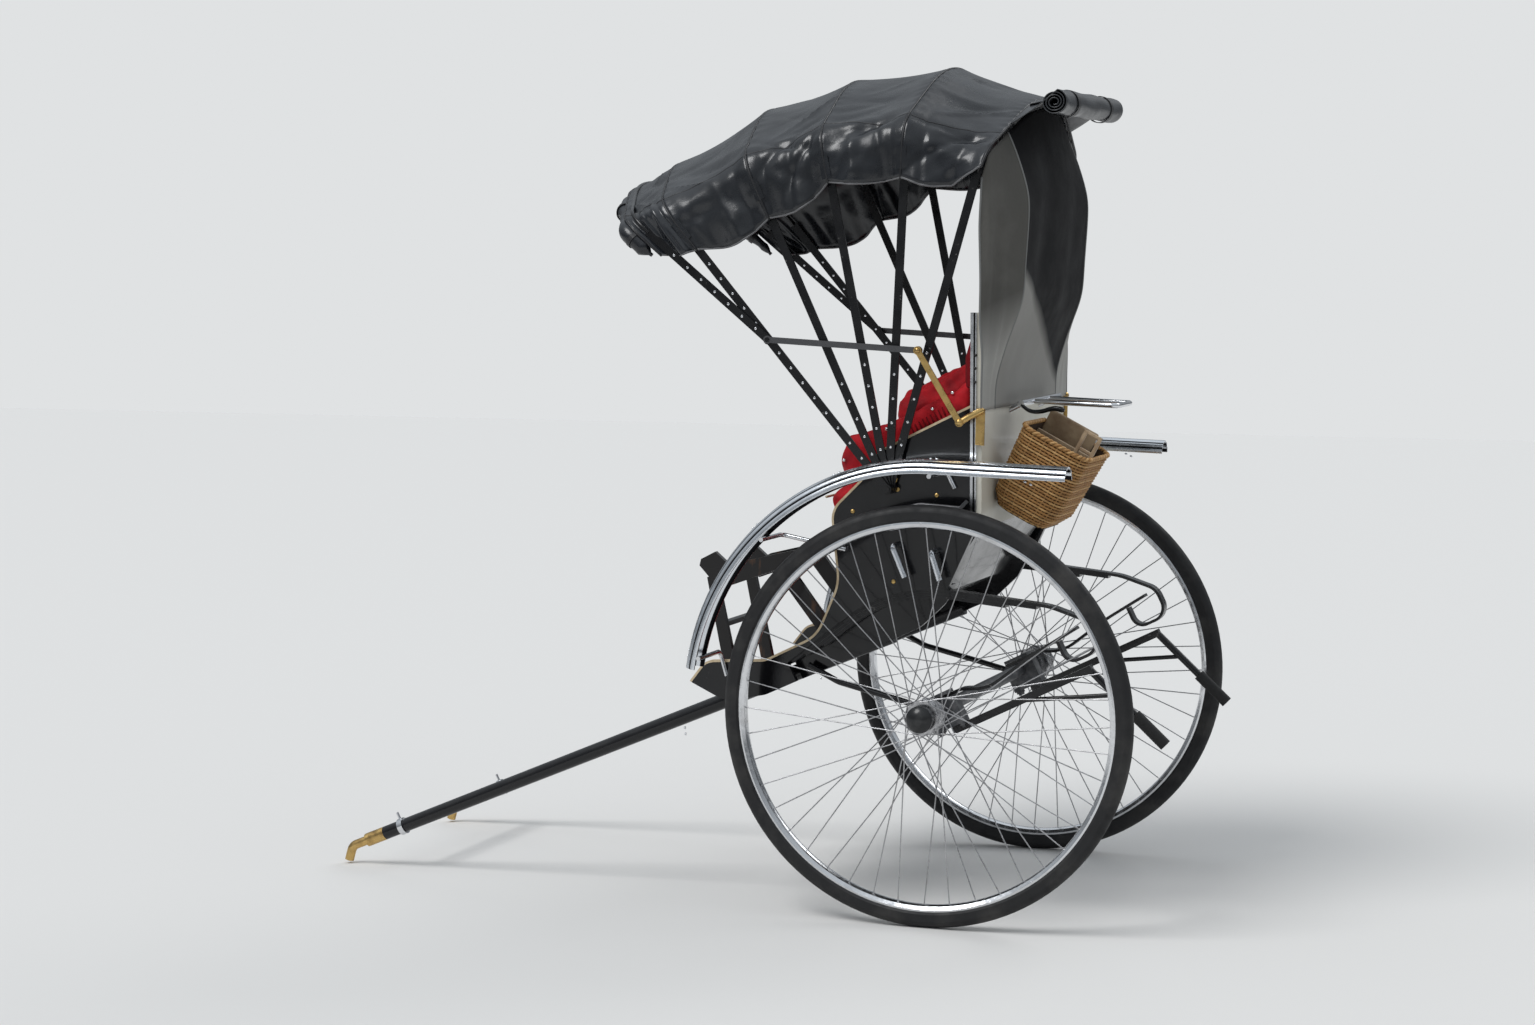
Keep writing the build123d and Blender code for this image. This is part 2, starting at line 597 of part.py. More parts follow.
for name, rank, lean, leg in BOWS:
    parts["hood_" + name] = bow(BOW_Y - (5 - rank) * BOW_PITCH, leg, bow_plane(lean), 6)

stay_head = (HOOD_X + STAY_BOW_R * math.sin(math.radians(BOWS[0][2])),
             HOOD_Z + STAY_BOW_R * math.cos(math.radians(BOWS[0][2])))
front_plane = bow_plane(FRONT_BOW_LEAN, stay_head)
parts["hood_front_bow"] = bow(BOW_Y, FRONT_BOW_LEG, front_plane, 6)

pivot_low = BODY_W / 2 + SEAT_GAP
pivot_high = BOW_Y - BOW_PITCH + BOW_T / 2 + 0.5
pivot = Pos(HOOD_X, (pivot_low + pivot_high) / 2, HOOD_Z) * Rot(90, 0, 0) * Cylinder(
    PIVOT_D / 2, pivot_high - pivot_low)
bow_low = BOW_Y - 5 * BOW_PITCH - BOW_T / 2
collar_high = bow_low - 0.5
collar = Pos(HOOD_X, (pivot_low + collar_high) / 2, HOOD_Z) * Rot(90, 0, 0) * Cylinder(
    PIVOT_D / 2 + 9, collar_high - pivot_low)
head = Pos(HOOD_X, pivot_high + 1.2, HOOD_Z) * Rot(90, 0, 0) * Cylinder(PIVOT_D / 2 + 3, 2.4)
foot_y0 = pivot_low
foot_y1 = BOW_Y + 2 * BOW_PITCH + STAY_T / 2 + 0.5
stay_pin = Pos(STAY_FOOT[0], (foot_y0 + foot_y1) / 2, STAY_FOOT[1]) * Rot(90, 0, 0) * Cylinder(
    STAY_PIN_D / 2, foot_y1 - foot_y0)
parts["hood_pivots"] = both(pivot + collar + head + stay_pin)

for side in (1, -1):
    y_mid = side * (BOW_Y - BOW_PITCH + (2 * BOW_PITCH + STAY_T) / 2)
    length = 2 * BOW_PITCH + STAY_T + 0.5
    spot = Pos(stay_head[0], y_mid + side * 1.0, stay_head[1]) * Rot(90, 0, 0)
    parts["hood_bow_1"] += spot * Cylinder(PIVOT_D / 2, length)


def link(a, b, y, bore_a, bore_b):
    """A flat stay link between two pins, round at both ends."""
    dx, dz = b[0] - a[0], b[1] - a[1]
    length = math.hypot(dx, dz)
    frame = Plane(origin=(a[0], y, a[1]), x_dir=(dx, 0, dz), z_dir=(0, 1, 0))
    body = Pos(length / 2, 0, 0) * Box(length, STAY_W, STAY_T)
    for spot in (0, length):
        body += Pos(spot, 0, 0) * Cylinder(STAY_W / 2 + 3, STAY_T)
    for spot, bore in ((0, bore_a), (length, bore_b)):
        if bore:
            body -= Pos(spot, 0, 0) * Cylinder(bore / 2 + RUN_CLEAR, STAY_T + 4)
    return frame * body


upper_y = BOW_Y + BOW_PITCH
lower_y = BOW_Y + 2 * BOW_PITCH
parts["stay_upper"] = both(link(stay_head, STAY_KNUCKLE, upper_y, PIVOT_D, None))
rivet_head = Pos(STAY_KNUCKLE[0], lower_y + STAY_T / 2 + 1, STAY_KNUCKLE[1]) * Rot(90, 0, 0) * Cylinder(
    STAY_PIN_D / 2 + 2, 3)
parts["stay_lower"] = both(link(STAY_KNUCKLE, STAY_FOOT, lower_y, None, STAY_PIN_D) + rivet_head)


def cover_section(lean, leg, origin, gap, slide, swag=0.0):
    """The cover's cut shape at one bow: hem, side, roof and the other side. A swag lets the hem hang."""
    offset = HOOP_D / 2 + gap
    base = roof_points(BOW_Y, leg, leg - HEM_DROP - swag)
    inner = shifted(base, offset)
    outer = shifted(base, offset + COVER_T)
    if outer[2][1] < inner[2][1]:
        inner, outer = shifted(base, -offset), shifted(base, -offset - COVER_T)
    line_in = FilletPolyline(*inner, radius=[CORNER_R + offset, ROOF_R + offset, CORNER_R + offset])
    line_out = FilletPolyline(*outer, radius=[CORNER_R + offset + COVER_T, ROOF_R + offset + COVER_T,
                                              CORNER_R + offset + COVER_T])
    ends = [Line(line_in @ 0, line_out @ 0), Line(line_in @ 1, line_out @ 1)]
    return bow_plane(lean, origin) * Pos(0, 0, slide) * make_face(Curve() + [line_in, line_out] + ends)


def sagging(fore, aft):
    """The cover's section half-way between two bows, where it sinks below the straight line."""
    corners = [plane.origin + plane.y_dir * leg for plane, leg in
               ((bow_plane(lean, origin), leg) for lean, leg, origin, _ in (fore, aft))]
    lean, leg, gap = (fore[0] + aft[0]) / 2, aft[1], (fore[3] + aft[3]) / 2
    span = (corners[1] - corners[0]).length
    sag = COVER_SAG_SHARE * span
    origin = (corners[0] + corners[1]) / 2 - bow_plane(lean).y_dir * (leg + sag)
    return cover_section(lean, leg, (origin.X, origin.Z), gap, 0, HEM_SWAG_SHARE * span - sag)


stations = [(FRONT_BOW_LEAN, FRONT_BOW_LEG, stay_head, FRONT_COVER_GAP)]
stations += [(lean, leg, (HOOD_X, HOOD_Z), COVER_GAP) for _, _, lean, leg in BOWS]
for i in range(len(BOWS)):
    fore, aft = stations[i], stations[i + 1]
    first = [(fore, BOW_W / 2), (fore, 0)] if i == 0 else [(fore, -PANEL_GAP / 2)]
    last = [(aft, 0), (aft, -BOW_W / 2)] if i == len(BOWS) - 1 else [(aft, PANEL_GAP / 2)]
    sections = [cover_section(*station, slide) for station, slide in first]
    sections += [sagging(fore, aft)] + [cover_section(*station, slide) for station, slide in last]
    parts["hood_panel_%d" % (i + 1)] = loft(sections, ruled=True)

_, _, rear_lean, rear_leg = BOWS[-1]
rear_plane = bow_plane(rear_lean)
roof_low = HOOP_D / 2 + COVER_GAP
roof_edge = roof_low / math.cos(math.radians(ROOF_SLOPE)) + rear_leg + (
    BOW_Y - ROLL_HALF) * math.tan(math.radians(ROOF_SLOPE))
roof_crown = rear_leg + BOW_Y * math.tan(math.radians(ROOF_SLOPE)) + roof_low - ROOF_R * (
    1 / math.cos(math.radians(ROOF_SLOPE)) - 1)


def hung(edge, crown, slide):
    """The rear curtain's cut shape: an arch of cloth over the width of the roll."""
    top = edge + CURTAIN_T
    outline = [ThreePointArc((-ROLL_HALF, edge), (0, crown), (ROLL_HALF, edge)),
               Line((ROLL_HALF, edge), (ROLL_HALF, top)),
               ThreePointArc((ROLL_HALF, top), (0, crown + CURTAIN_T), (-ROLL_HALF, top)),
               Line((-ROLL_HALF, top), (-ROLL_HALF, edge))]
    return rear_plane * Pos(0, 0, slide) * make_face(Curve() + outline)


roll = rear_plane * Pos(0, ROLL_LEG, -ROLL_BACK) * Rot(0, 90, 0) * Cylinder(ROLL_R, 2 * ROLL_HALF)
roll_top = ROLL_LEG + ROLL_R - CURTAIN_T
top_cloth = loft([hung(roof_edge, roof_crown, -BOW_W / 2 - SEAT_GAP),
                  hung(roll_top - 1, roll_top, -ROLL_BACK)], ruled=True)
parts["curtain_roll"] = roll + top_cloth

# The rear curtains at five heights: x and z of the quarter curtain's front edge, then of the corner seam
panel_z = 1268.0
panel_x = rear_x(panel_z) - SEAT_GAP - (BOARD_T + SEAT_GAP) * math.hypot(rear_dx, rear_dz) / rear_dz
CURTAIN_ROWS = [(-719.5, 1752, -838, 1845),
                (-655, 1640, -783, 1660),
                (-590, 1500, -690, 1510),
                (-546, 1416, -645, 1430),
                (-513, 1330, -552, 1345),
                (panel_x, panel_z, panel_x, panel_z)]


def hanging(edges):
    """Cloth hung between two side lines: each section joins their points at one height."""
    back = Vector(-CURTAIN_T, 0, 0)
    sections = []
    for a, b in edges:
        a, b = Vector(*a), Vector(*b)
        sections.append(make_face(Polyline(a, b, b + back, a + back, close=True)))
    return loft(sections, ruled=True)


seam_y = CURTAIN_HALF + CUSHION_GAP
pair("quarter", hanging([((fx, CURTAIN_FRONT_Y, fz), (bx, seam_y, bz)) for fx, fz, bx, bz in CURTAIN_ROWS]))
parts["rear_curtain"] = hanging([((bx, CURTAIN_HALF, bz), (bx, -CURTAIN_HALF, bz))
                                 for _, _, bx, bz in CURTAIN_ROWS])

# Rear bar, held off the back panel by two arms, and the handle that springs from it
REAR_BAR = (-489.0, 1196.0)
REAR_BAR_HALF = 200.0
REAR_BAR_D = 18.0
REAR_ARM_Y = 150.0
HANDLE_END = (-693.0, 1086.0)
HANDLE_HALF = 80.0
HANDLE_D = 14.0
bar_x, bar_height = REAR_BAR
handle = rod([(bar_x, HANDLE_HALF, bar_height), (HANDLE_END[0], HANDLE_HALF, HANDLE_END[1]),
              (HANDLE_END[0], -HANDLE_HALF, HANDLE_END[1]), (bar_x, -HANDLE_HALF, bar_height)],
             [HANDLE_D, HANDLE_D], HANDLE_D)
handle += rod([(bar_x, -REAR_BAR_HALF, bar_height), (bar_x, REAR_BAR_HALF, bar_height)], None, REAR_BAR_D)
for y in (-REAR_ARM_Y, REAR_ARM_Y):
    handle += rod([(rear_x(bar_height), y, bar_height), (bar_x, y, bar_height)], None, HANDLE_D)
handle -= strap(back_line, None, 0, BODY_W, BOARD_T + 2 * SEAT_GAP)
parts["rear_handle"] = handle.solids().sort_by(Axis.X)[0]

# Basket: height above its base, length and width of each ring; it leans back on the panel at its belly
BASKET_RINGS = [(0, 140, 220),
                (40, 190, 250),
                (225, 206, 280)]
BASKET_WALL = 8.0
BASKET_CORNER_R = 50.0
BASKET_TILT = 54.0
basket_y, basket_z = BODY_W / 4, 1023.0


def basket_body(inset, low):
    """A rounded tapering tub of three rings, drawn in by an inset."""
    rings = []
    for height, length, width in BASKET_RINGS:
        level = Plane.XY.offset(max(height, low) + (inset if height == BASKET_RINGS[-1][0] else 0))
        rings.append(level * RectangleRounded(length - 2 * inset, width - 2 * inset,
                                              BASKET_CORNER_R - inset))
    return loft(rings, ruled=True)


belly = BASKET_RINGS[1]
lean_a = math.radians(BASKET_TILT)
belly_x = panel_x + (panel_z - basket_z) * -rear_dx / rear_dz - SEAT_GAP
basket_x = belly_x + belly[0] * math.sin(lean_a) - belly[1] / 2 * math.cos(lean_a)
basket_foot = basket_z - belly[0] * math.cos(lean_a) - belly[1] / 2 * math.sin(lean_a)
wicker = basket_body(0, 0) - basket_body(BASKET_WALL, BASKET_WALL)
parts["basket"] = Pos(basket_x, basket_y, basket_foot) * Rot(0, -BASKET_TILT, 0) * wicker

# Step stool, folded in the footwell: two side frames under one tread
STOOL_SIDES = (-100.0, 190.0)
STOOL_T = 18.0
STOOL_LEG_W = 36.0
toe_slope = (floor_front[1] - FLOOR_Z - FLOOR_T) / (floor_front[0] - front_x)
stool_front_x = 566.0
stool_rear_z = FLOOR_Z + FLOOR_T + SEAT_GAP
stool_front_z = stool_rear_z + toe_slope * (stool_front_x + STOOL_LEG_W - front_x)
STOOL_BARS = [[(536, 1183), (524, 1197), (477, 1198), (440, 1112), (469, 1100), (520, 1128)],
              [(530, 1144), (500, 1144), (stool_front_x, stool_front_z),
               (stool_front_x + STOOL_LEG_W, stool_front_z)],
              [(532, 1138), (500, 1098), (141, 1058), (133, 1078), (440, 1146)],
              [(345, 1100), (300, 1100), (250, stool_rear_z), (290, stool_rear_z)]]
frame_piece = plate(STOOL_BARS[0], None, 0, STOOL_T)
for bar in STOOL_BARS[1:]:
    frame_piece += plate(bar, None, 0, STOOL_T)
tread = plate([(430, 1130), (150, 1076), (152, 1064), (434, 1116)], None, *STOOL_SIDES)
step = plate([(562, 1020), (538, 1010), (542, 998), (566, 1008)], None, *STOOL_SIDES)
stool = tread + step
for y in STOOL_SIDES:
    stool += Pos(0, y - STOOL_T / 2, 0) * frame_piece
parts["step_stool"] = stool

# Hooks on the sides: x and z of each hook's root and of its hanging end
HOOKS = [((-84, 988), (-79, 901)),
         ((-173, 930), (-162, 855))]
HOOK_D = 16.0
hook_root, hook_y = BODY_W / 2 + SEAT_GAP, BODY_W / 2 + 40
hooks = []
for (root_x, root_z), (end_x, end_z) in HOOKS:
    hooks.append(rod([(root_x, hook_root, root_z), (root_x, hook_y, root_z), (end_x, hook_y, end_z)],
                     [12], HOOK_D))
parts["side_posts"] = both(Compound([hook.solid() for hook in hooks]))

# A bent rod along each side, clipped to it at both ends
ROD_POINTS = [(-99, 1075), (-188, 1058), (-285, 1003), (-310, 1012)]
ROD_D = 10.0
side_rod = rod([(x, BODY_W / 2 + SEAT_GAP + ROD_D / 2, z) for x, z in ROD_POINTS], [60, 12], ROD_D)
parts["side_rods"] = both(side_rod)

# Parking: the carriage turns about the axle until the shaft tips touch the ground

tip_point = (tip_start + 80 + TIP_D / 2 * 0.55, shaft_z(tip_start) - 28 - TIP_D / 2 * 0.55)
reach = math.hypot(tip_point[0], tip_point[1] - AXLE_Z)
PARK_DEG = math.degrees(math.atan2(tip_point[1] - AXLE_Z, tip_point[0]) + math.asin(WHEEL_R / reach))
park = Pos(0, 0, AXLE_Z) * Rot(0, PARK_DEG, 0) * Pos(0, 0, -AXLE_Z)
for name in parts:
    if name not in WHEEL_NODES:
        parts[name] = park * parts[name]

low = [min(tuple(p.bounding_box().min)[i] for p in parts.values()) for i in range(3)]
high = [max(tuple(p.bounding_box().max)[i] for p in parts.values()) for i in range(3)]
ORIGIN = ((low[0] + high[0]) / 2, 0.0, low[2])
print("park angle", round(PARK_DEG, 3), "box", [round(v, 1) for v in low + high], "origin", ORIGIN)

os.makedirs("parts", exist_ok=True)
for name, piece in parts.items():
    export_step(Pos(-ORIGIN[0], -ORIGIN[1], -ORIGIN[2]) * piece, "parts/" + name + ".step")
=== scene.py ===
# %% [markdown]
# # A pulled rickshaw
# The vehicle is a tub body on C springs between two tall wire wheels, with two shafts in front and a
# folding hood above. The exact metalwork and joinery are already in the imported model; this lesson gives
# them their finishes and adds what is soft, woven or too small for the exact model: hood cloth, curtains,
# cushions, lining, basket weave, rivets and piping.

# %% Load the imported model
import math

import bmesh
import bpy
import numpy as np
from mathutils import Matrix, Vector


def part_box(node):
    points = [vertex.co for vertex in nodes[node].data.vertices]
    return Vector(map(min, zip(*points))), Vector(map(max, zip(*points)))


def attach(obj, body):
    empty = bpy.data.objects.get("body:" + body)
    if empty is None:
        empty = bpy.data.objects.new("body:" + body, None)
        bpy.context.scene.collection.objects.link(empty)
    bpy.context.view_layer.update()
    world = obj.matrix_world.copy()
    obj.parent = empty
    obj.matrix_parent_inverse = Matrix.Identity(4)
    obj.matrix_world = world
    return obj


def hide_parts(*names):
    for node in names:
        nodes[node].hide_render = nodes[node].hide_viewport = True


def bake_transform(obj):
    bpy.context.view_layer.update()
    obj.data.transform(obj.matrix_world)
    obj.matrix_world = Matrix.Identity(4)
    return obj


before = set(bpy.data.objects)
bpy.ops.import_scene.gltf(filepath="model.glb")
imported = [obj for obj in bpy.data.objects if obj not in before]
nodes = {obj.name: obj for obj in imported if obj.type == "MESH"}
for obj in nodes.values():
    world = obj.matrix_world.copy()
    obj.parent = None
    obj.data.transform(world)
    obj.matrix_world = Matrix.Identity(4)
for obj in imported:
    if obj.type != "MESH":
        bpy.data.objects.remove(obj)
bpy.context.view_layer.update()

# %% [markdown]
# The vehicle stands parked, tipped on to its shaft tips. Shapes are easier to think of with the floor of
# the body level, as it runs, so every new shape is worked out in that running attitude: x forward from
# the axle, y to the left, z up from the ground. One function then tips the points about the axle. The
# angle of the tip isn't guessed: the crossbar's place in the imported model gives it.

# %% The two attitudes
WHEEL_R = 0.550
BAR_RUNNING = (1.610, 0.8744 - WHEEL_R)


def middle(node):
    """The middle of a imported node's box."""
    return np.array([sum(corner[i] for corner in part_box(node)) / 2 for i in range(3)])


AXLE, BAR = middle("axle"), middle("crossbar")
PARK = math.atan2(BAR_RUNNING[1], BAR_RUNNING[0]) - math.atan2(BAR[2] - AXLE[2], BAR[0] - AXLE[0])


def place(*coordinates):
    """Coordinates spread to one shape and stacked as points."""
    return np.stack(np.broadcast_arrays(*coordinates), axis=-1)


def parked(points):
    """Running-attitude points turned nose down by PARK about the axle, with the axle at its packed place."""
    p = np.asarray(points, float)
    c, s = math.cos(PARK), math.sin(PARK)
    x, z = p[..., 0], p[..., 2] - AXLE[2]
    return place(AXLE[0] + c * x + s * z, p[..., 1], AXLE[2] - s * x + c * z)


print("parked", round(math.degrees(PARK), 2), "degrees nose down, axle at", AXLE.round(3))

# %% [markdown]
# A surface here is a grid of points: two parameters u and v run over rows and columns, and neighbours in
# the grid are joined by four-cornered faces. The whole grid is computed at once and handed to Blender as
# arrays. A tube is such a grid too, wrapped round a path.

# %% Grids and tubes to meshes


def unit(vectors):
    """Vectors scaled to a length of one."""
    return vectors / np.linalg.norm(vectors, axis=-1, keepdims=True)


def even_steps(path, count, endpoint=True):
    """Points at even steps of arc length along a polyline."""
    s = np.concatenate([[0], np.cumsum(np.linalg.norm(np.diff(path, axis=0), axis=1))])
    even = np.linspace(0, s[-1], count, endpoint=endpoint)
    return np.stack([np.interp(even, s, path[:, k]) for k in range(path.shape[1])], axis=-1)


def grid_faces(rows, columns, wrap_u=False, wrap_v=False):
    """Corner numbers of the faces of a rows x columns grid, joined round where it wraps."""
    i = np.arange(rows if wrap_u else rows - 1)
    j = np.arange(columns if wrap_v else columns - 1)
    i, j = np.meshgrid(i, j, indexing="ij")
    i2, j2 = (i + 1) % rows, (j + 1) % columns
    return place(i * columns + j, i2 * columns + j, i2 * columns + j2, i * columns + j2).reshape(-1, 4)


def make_mesh(name, points, faces, smooth=True, tilt=True):
    """A mesh object from arrays of points and faces, tipped to the parked attitude."""
    points = np.asarray(points, float).reshape(-1, 3)
    points = parked(points) if tilt else points
    mesh = bpy.data.meshes.new(name)
    mesh.from_pydata(points.tolist(), [], faces.tolist() if isinstance(faces, np.ndarray) else faces)
    mesh.polygons.foreach_set("use_smooth", np.full(len(mesh.polygons), smooth))
    piece = bpy.data.objects.new(name, mesh)
    bpy.context.scene.collection.objects.link(piece)
    return piece


def add_uv(piece, rows, columns, size):
    """A UV map for one grid: u and v run over size in metres, so a weave keeps its scale."""
    v, u = np.meshgrid(np.linspace(0, size[1], columns), np.linspace(0, size[0], rows))
    flat = place(u.ravel(), v.ravel())
    corners = np.empty(len(piece.data.loops), int)
    piece.data.loops.foreach_get("vertex_index", corners)
    layer = piece.data.uv_layers.new(name="UVMap")
    layer.data.foreach_set("uv", flat[corners % len(flat)].ravel())


def surface(name, grid, wrap_u=False, wrap_v=False, size=None, tilt=True):
    """One grid of points, shape (rows, columns, 3), as a piece."""
    rows, columns = grid.shape[:2]
    piece = make_mesh(name, grid, grid_faces(rows, columns, wrap_u, wrap_v), tilt=tilt)
    if size:
        add_uv(piece, rows, columns, size)
    return piece


def along(path, closed=False):
    """The direction of a path at each of its points, by its two neighbours."""
    return np.roll(path, -1, 0) - np.roll(path, 1, 0) if closed else np.gradient(path, axis=0)


def tube_grid(path, radius, sides=10, side_on=(0, 1, 0), closed=False):
    """Rings round a path: centre + radius (cos t a + sin t b), a and b square to the path's tangent."""
    path = np.asarray(path, float)
    tangent = unit(along(path, closed))
    a = unit(np.cross(tangent, np.asarray(side_on, float)))
    b = np.cross(tangent, a)
    t = np.linspace(0, 2 * np.pi, sides, endpoint=False)
    r = np.broadcast_to(np.asarray(radius, float), (len(path),))[:, None, None]
    return path[:, None] + r * (np.cos(t)[None, :, None] * a[:, None] + np.sin(t)[None, :, None] * b[:, None])


def tube(name, path, radius, sides=10, side_on=(0, 1, 0), closed=False):
    """A closed tube along a path, its two ends capped when it isn't a ring."""
    grid = tube_grid(path, radius, sides, side_on, closed)
    faces = grid_faces(len(grid), sides, closed, True).tolist()
    if not closed:
        last = (len(grid) - 1) * sides
        faces += [list(range(sides)), [last + k for k in range(sides - 1, -1, -1)]]
    return face_out(make_mesh(name, grid, faces))


def face_out(piece):
    """Turns all faces outwards, by Blender's own recalculation."""
    work = bmesh.new()
    work.from_mesh(piece.data)
    bmesh.ops.remove_doubles(work, verts=work.verts, dist=1e-6)
    bmesh.ops.recalc_face_normals(work, faces=work.faces)
    work.to_mesh(piece.data)
    work.free()
    return piece


def join(name, pieces):
    """Several pieces as one, by Blender's own join."""
    if len(pieces) > 1:
        with bpy.context.temp_override(active_object=pieces[0], selected_editable_objects=pieces):
            bpy.ops.object.join()
    pieces[0].name = name
    return pieces[0]


def repeat(name, grid, faces, places, axes):
    """One small shape repeated: its local x, y, z are laid along the three axes given for each place."""
    grid = np.asarray(grid, float).reshape(-1, 3)
    places, axes = np.asarray(places, float), np.asarray(axes, float)
    points = places[:, None] + np.einsum("vk,nkc->nvc", grid, axes)
    faces = np.asarray(faces)
    all_faces = (faces[None] + (np.arange(len(places)) * len(grid))[:, None, None]).reshape(-1, faces.shape[1])
    return make_mesh(name, points, all_faces)


# %% [markdown]
# Finishes come next. Each is a Principled shader, and what is the same all over the surface is set on
# its own socket. What varies, such as grain, dust and fine scratches, comes from procedural noise read in
# Object coordinates, so that it stays on the piece from every side and in every pose.

# %% Building blocks for finishes


class Finish:
    """A material with short calls for the patterns that the real surfaces show."""

    def __init__(self, name, colour, roughness, metallic=0.0, coat=0.0, sheen=0.0, specular=0.5):
        self.material = bpy.data.materials.new(name)
        self.material.use_nodes = True
        self.tree = self.material.node_tree
        self.shader = self.tree.nodes["Principled BSDF"]
        for socket, value in (("Base Color", (*colour, 1)), ("Roughness", roughness), ("Metallic", metallic),
                              ("Coat Weight", coat), ("Coat Roughness", 0.06), ("Sheen Weight", sheen),
                              ("Specular IOR Level", specular)):
            self.shader.inputs[socket].default_value = value
        self.colour = colour
        self.normal = None

    def node(self, kind, **sockets):
        made = self.tree.nodes.new(kind)
        for name, value in sockets.items():
            made.inputs[name.replace("_", " ")].default_value = value
        return made

    def link(self, a, b):
        self.tree.links.new(a, b)

    def where(self, stretch=(1, 1, 1), kind="Object"):
        """Coordinates on the piece, stretched along its axes."""
        mapping = self.node("ShaderNodeMapping", Scale=stretch)
        self.link(self.node("ShaderNodeTexCoord").outputs[kind], mapping.inputs["Vector"])
        return mapping.outputs["Vector"]

    def noise(self, scale, detail, stretch=(1, 1, 1)):
        """Cloudy noise, from 0 to 1."""
        made = self.node("ShaderNodeTexNoise", Scale=scale, Detail=detail, Roughness=0.55)
        self.link(self.where(stretch), made.inputs["Vector"])
        return made.outputs["Fac"]

    def cells(self, scale):
        """Distance to the edges of random cells, as leather's grain has them."""
        made = self.node("ShaderNodeTexVoronoi", Scale=scale)
        made.feature = "DISTANCE_TO_EDGE"
        self.link(self.where(), made.inputs["Vector"])
        return made.outputs["Distance"]

    def levels(self, value, low, high, to_low=0.0, to_high=1.0):
        """A value stretched from low..high to another range and held inside it."""
        made = self.node("ShaderNodeMapRange", From_Min=low, From_Max=high, To_Min=to_low, To_Max=to_high)
        self.link(value, made.inputs["Value"])
        return made.outputs["Result"]

    def calculate(self, operation, a, b=0.0):
        """One step of arithmetic on a pattern."""
        made = self.node("ShaderNodeMath")
        made.operation = operation
        self.link(a, made.inputs[0])
        made.inputs[1].default_value = b
        return made.outputs["Value"]

    def distance(self, point, direction, kind="Object"):
        """How far each place lies from a plane: (place - point) . n, n the unit vector along direction."""
        n = unit(np.asarray(direction, float))
        made = self.node("ShaderNodeVectorMath")
        made.operation = "DOT_PRODUCT"
        made.inputs[1].default_value = n
        self.link(self.where(kind=kind), made.inputs[0])
        return self.calculate("SUBTRACT", made.outputs["Value"], float(n @ np.asarray(point, float)))

    def band(self, value, middle, half):
        """1 where a pattern is within half of a middle value, and 0 elsewhere."""
        away = self.calculate("ABSOLUTE", self.calculate("SUBTRACT", value, middle))
        return self.levels(away, half, half * 1.4, 1.0, 0.0)

    def tint(self, share, other):
        """Mixes another colour in by a pattern's share, over what is there already."""
        mix = self.node("ShaderNodeMix")
        mix.data_type = "RGBA"
        colours = [s for s in mix.inputs if s.type == "RGBA"]
        base = self.shader.inputs["Base Color"]
        if base.links:
            self.link(base.links[0].from_socket, colours[0])
        else:
            colours[0].default_value = (*self.colour, 1)
        colours[1].default_value = (*other, 1)
        self.link(share, mix.inputs["Factor"])
        self.link([s for s in mix.outputs if s.type == "RGBA"][0], base)
        return self

    def stain(self, scale, detail, low, high, other, most=1.0, stretch=(1, 1, 1)):
        """Another colour where noise runs from low to high, up to a share of most."""
        return self.tint(self.levels(self.noise(scale, detail, stretch), low, high, 0, most), other)

    def gloss(self, scale, detail, smooth, rough):
        """Roughness that follows noise, between a smooth and a rough value."""
        share = self.levels(self.noise(scale, detail), 0.3, 0.7, smooth, rough)
        self.link(share, self.shader.inputs["Roughness"])
        return self

    def relief(self, value, depth, strength):
        """A bump of a depth in metres, on top of those before it."""
        bump = self.node("ShaderNodeBump", Strength=strength, Distance=depth)
        self.link(value, bump.inputs["Height"])
        if self.normal:
            self.link(self.normal, bump.inputs["Normal"])
        self.normal = bump.outputs["Normal"]
        self.link(self.normal, self.shader.inputs["Normal"])
        return self

    def grain(self, scale, detail, depth, strength, stretch=(1, 1, 1)):
        """A bump from noise, a depth in metres."""
        return self.relief(self.noise(scale, detail, stretch), depth, strength)


# %% [markdown]
# Metals. Plated parts are bright with a faint haze; painted steel is black gloss with a few rubs where
# bare metal shows; brass is worn. Each line below names a colour and a roughness, and then the noise that
# varies the gloss, stains the colour or gives the surface its grain.

# %% Metals
chrome = Finish("chrome_plate", (0.72, 0.73, 0.75), 0.12, metallic=1.0).gloss(34, 5, 0.07, 0.24)
chrome.stain(9, 3, 0.55, 0.8, (0.45, 0.45, 0.46), 0.5)
rim_plate = Finish("rim_plate", (0.74, 0.75, 0.77), 0.16, metallic=1.0).gloss(60, 4, 0.1, 0.3)
rim_plate.stain(14, 4, 0.52, 0.75, (0.36, 0.35, 0.34), 0.55)
spoke_steel = Finish("spoke_steel", (0.42, 0.42, 0.43), 0.28, metallic=1.0).gloss(90, 3, 0.2, 0.42)
spoke_steel.stain(20, 3, 0.5, 0.75, (0.2, 0.19, 0.18), 0.6)
hub_steel = Finish("hub_steel", (0.5, 0.5, 0.51), 0.24, metallic=1.0).gloss(80, 4, 0.16, 0.4)
bright_stud = Finish("bright_stud", (0.85, 0.86, 0.88), 0.18, metallic=1.0).gloss(300, 2, 0.12, 0.3)
brass = Finish("worn_brass", (0.62, 0.42, 0.16), 0.3, metallic=1.0).gloss(60, 4, 0.2, 0.45)
brass.stain(25, 5, 0.5, 0.72, (0.3, 0.19, 0.08))
grey_forging = Finish("grey_forging", (0.055, 0.057, 0.062), 0.46, metallic=0.35)
grey_forging.stain(30, 6, 0.45, 0.7, (0.16, 0.16, 0.165)).grain(160, 5, 0.0004, 0.6)
black_steel = Finish("black_enamel", (0.008, 0.008, 0.009), 0.22, coat=0.25, specular=0.3)
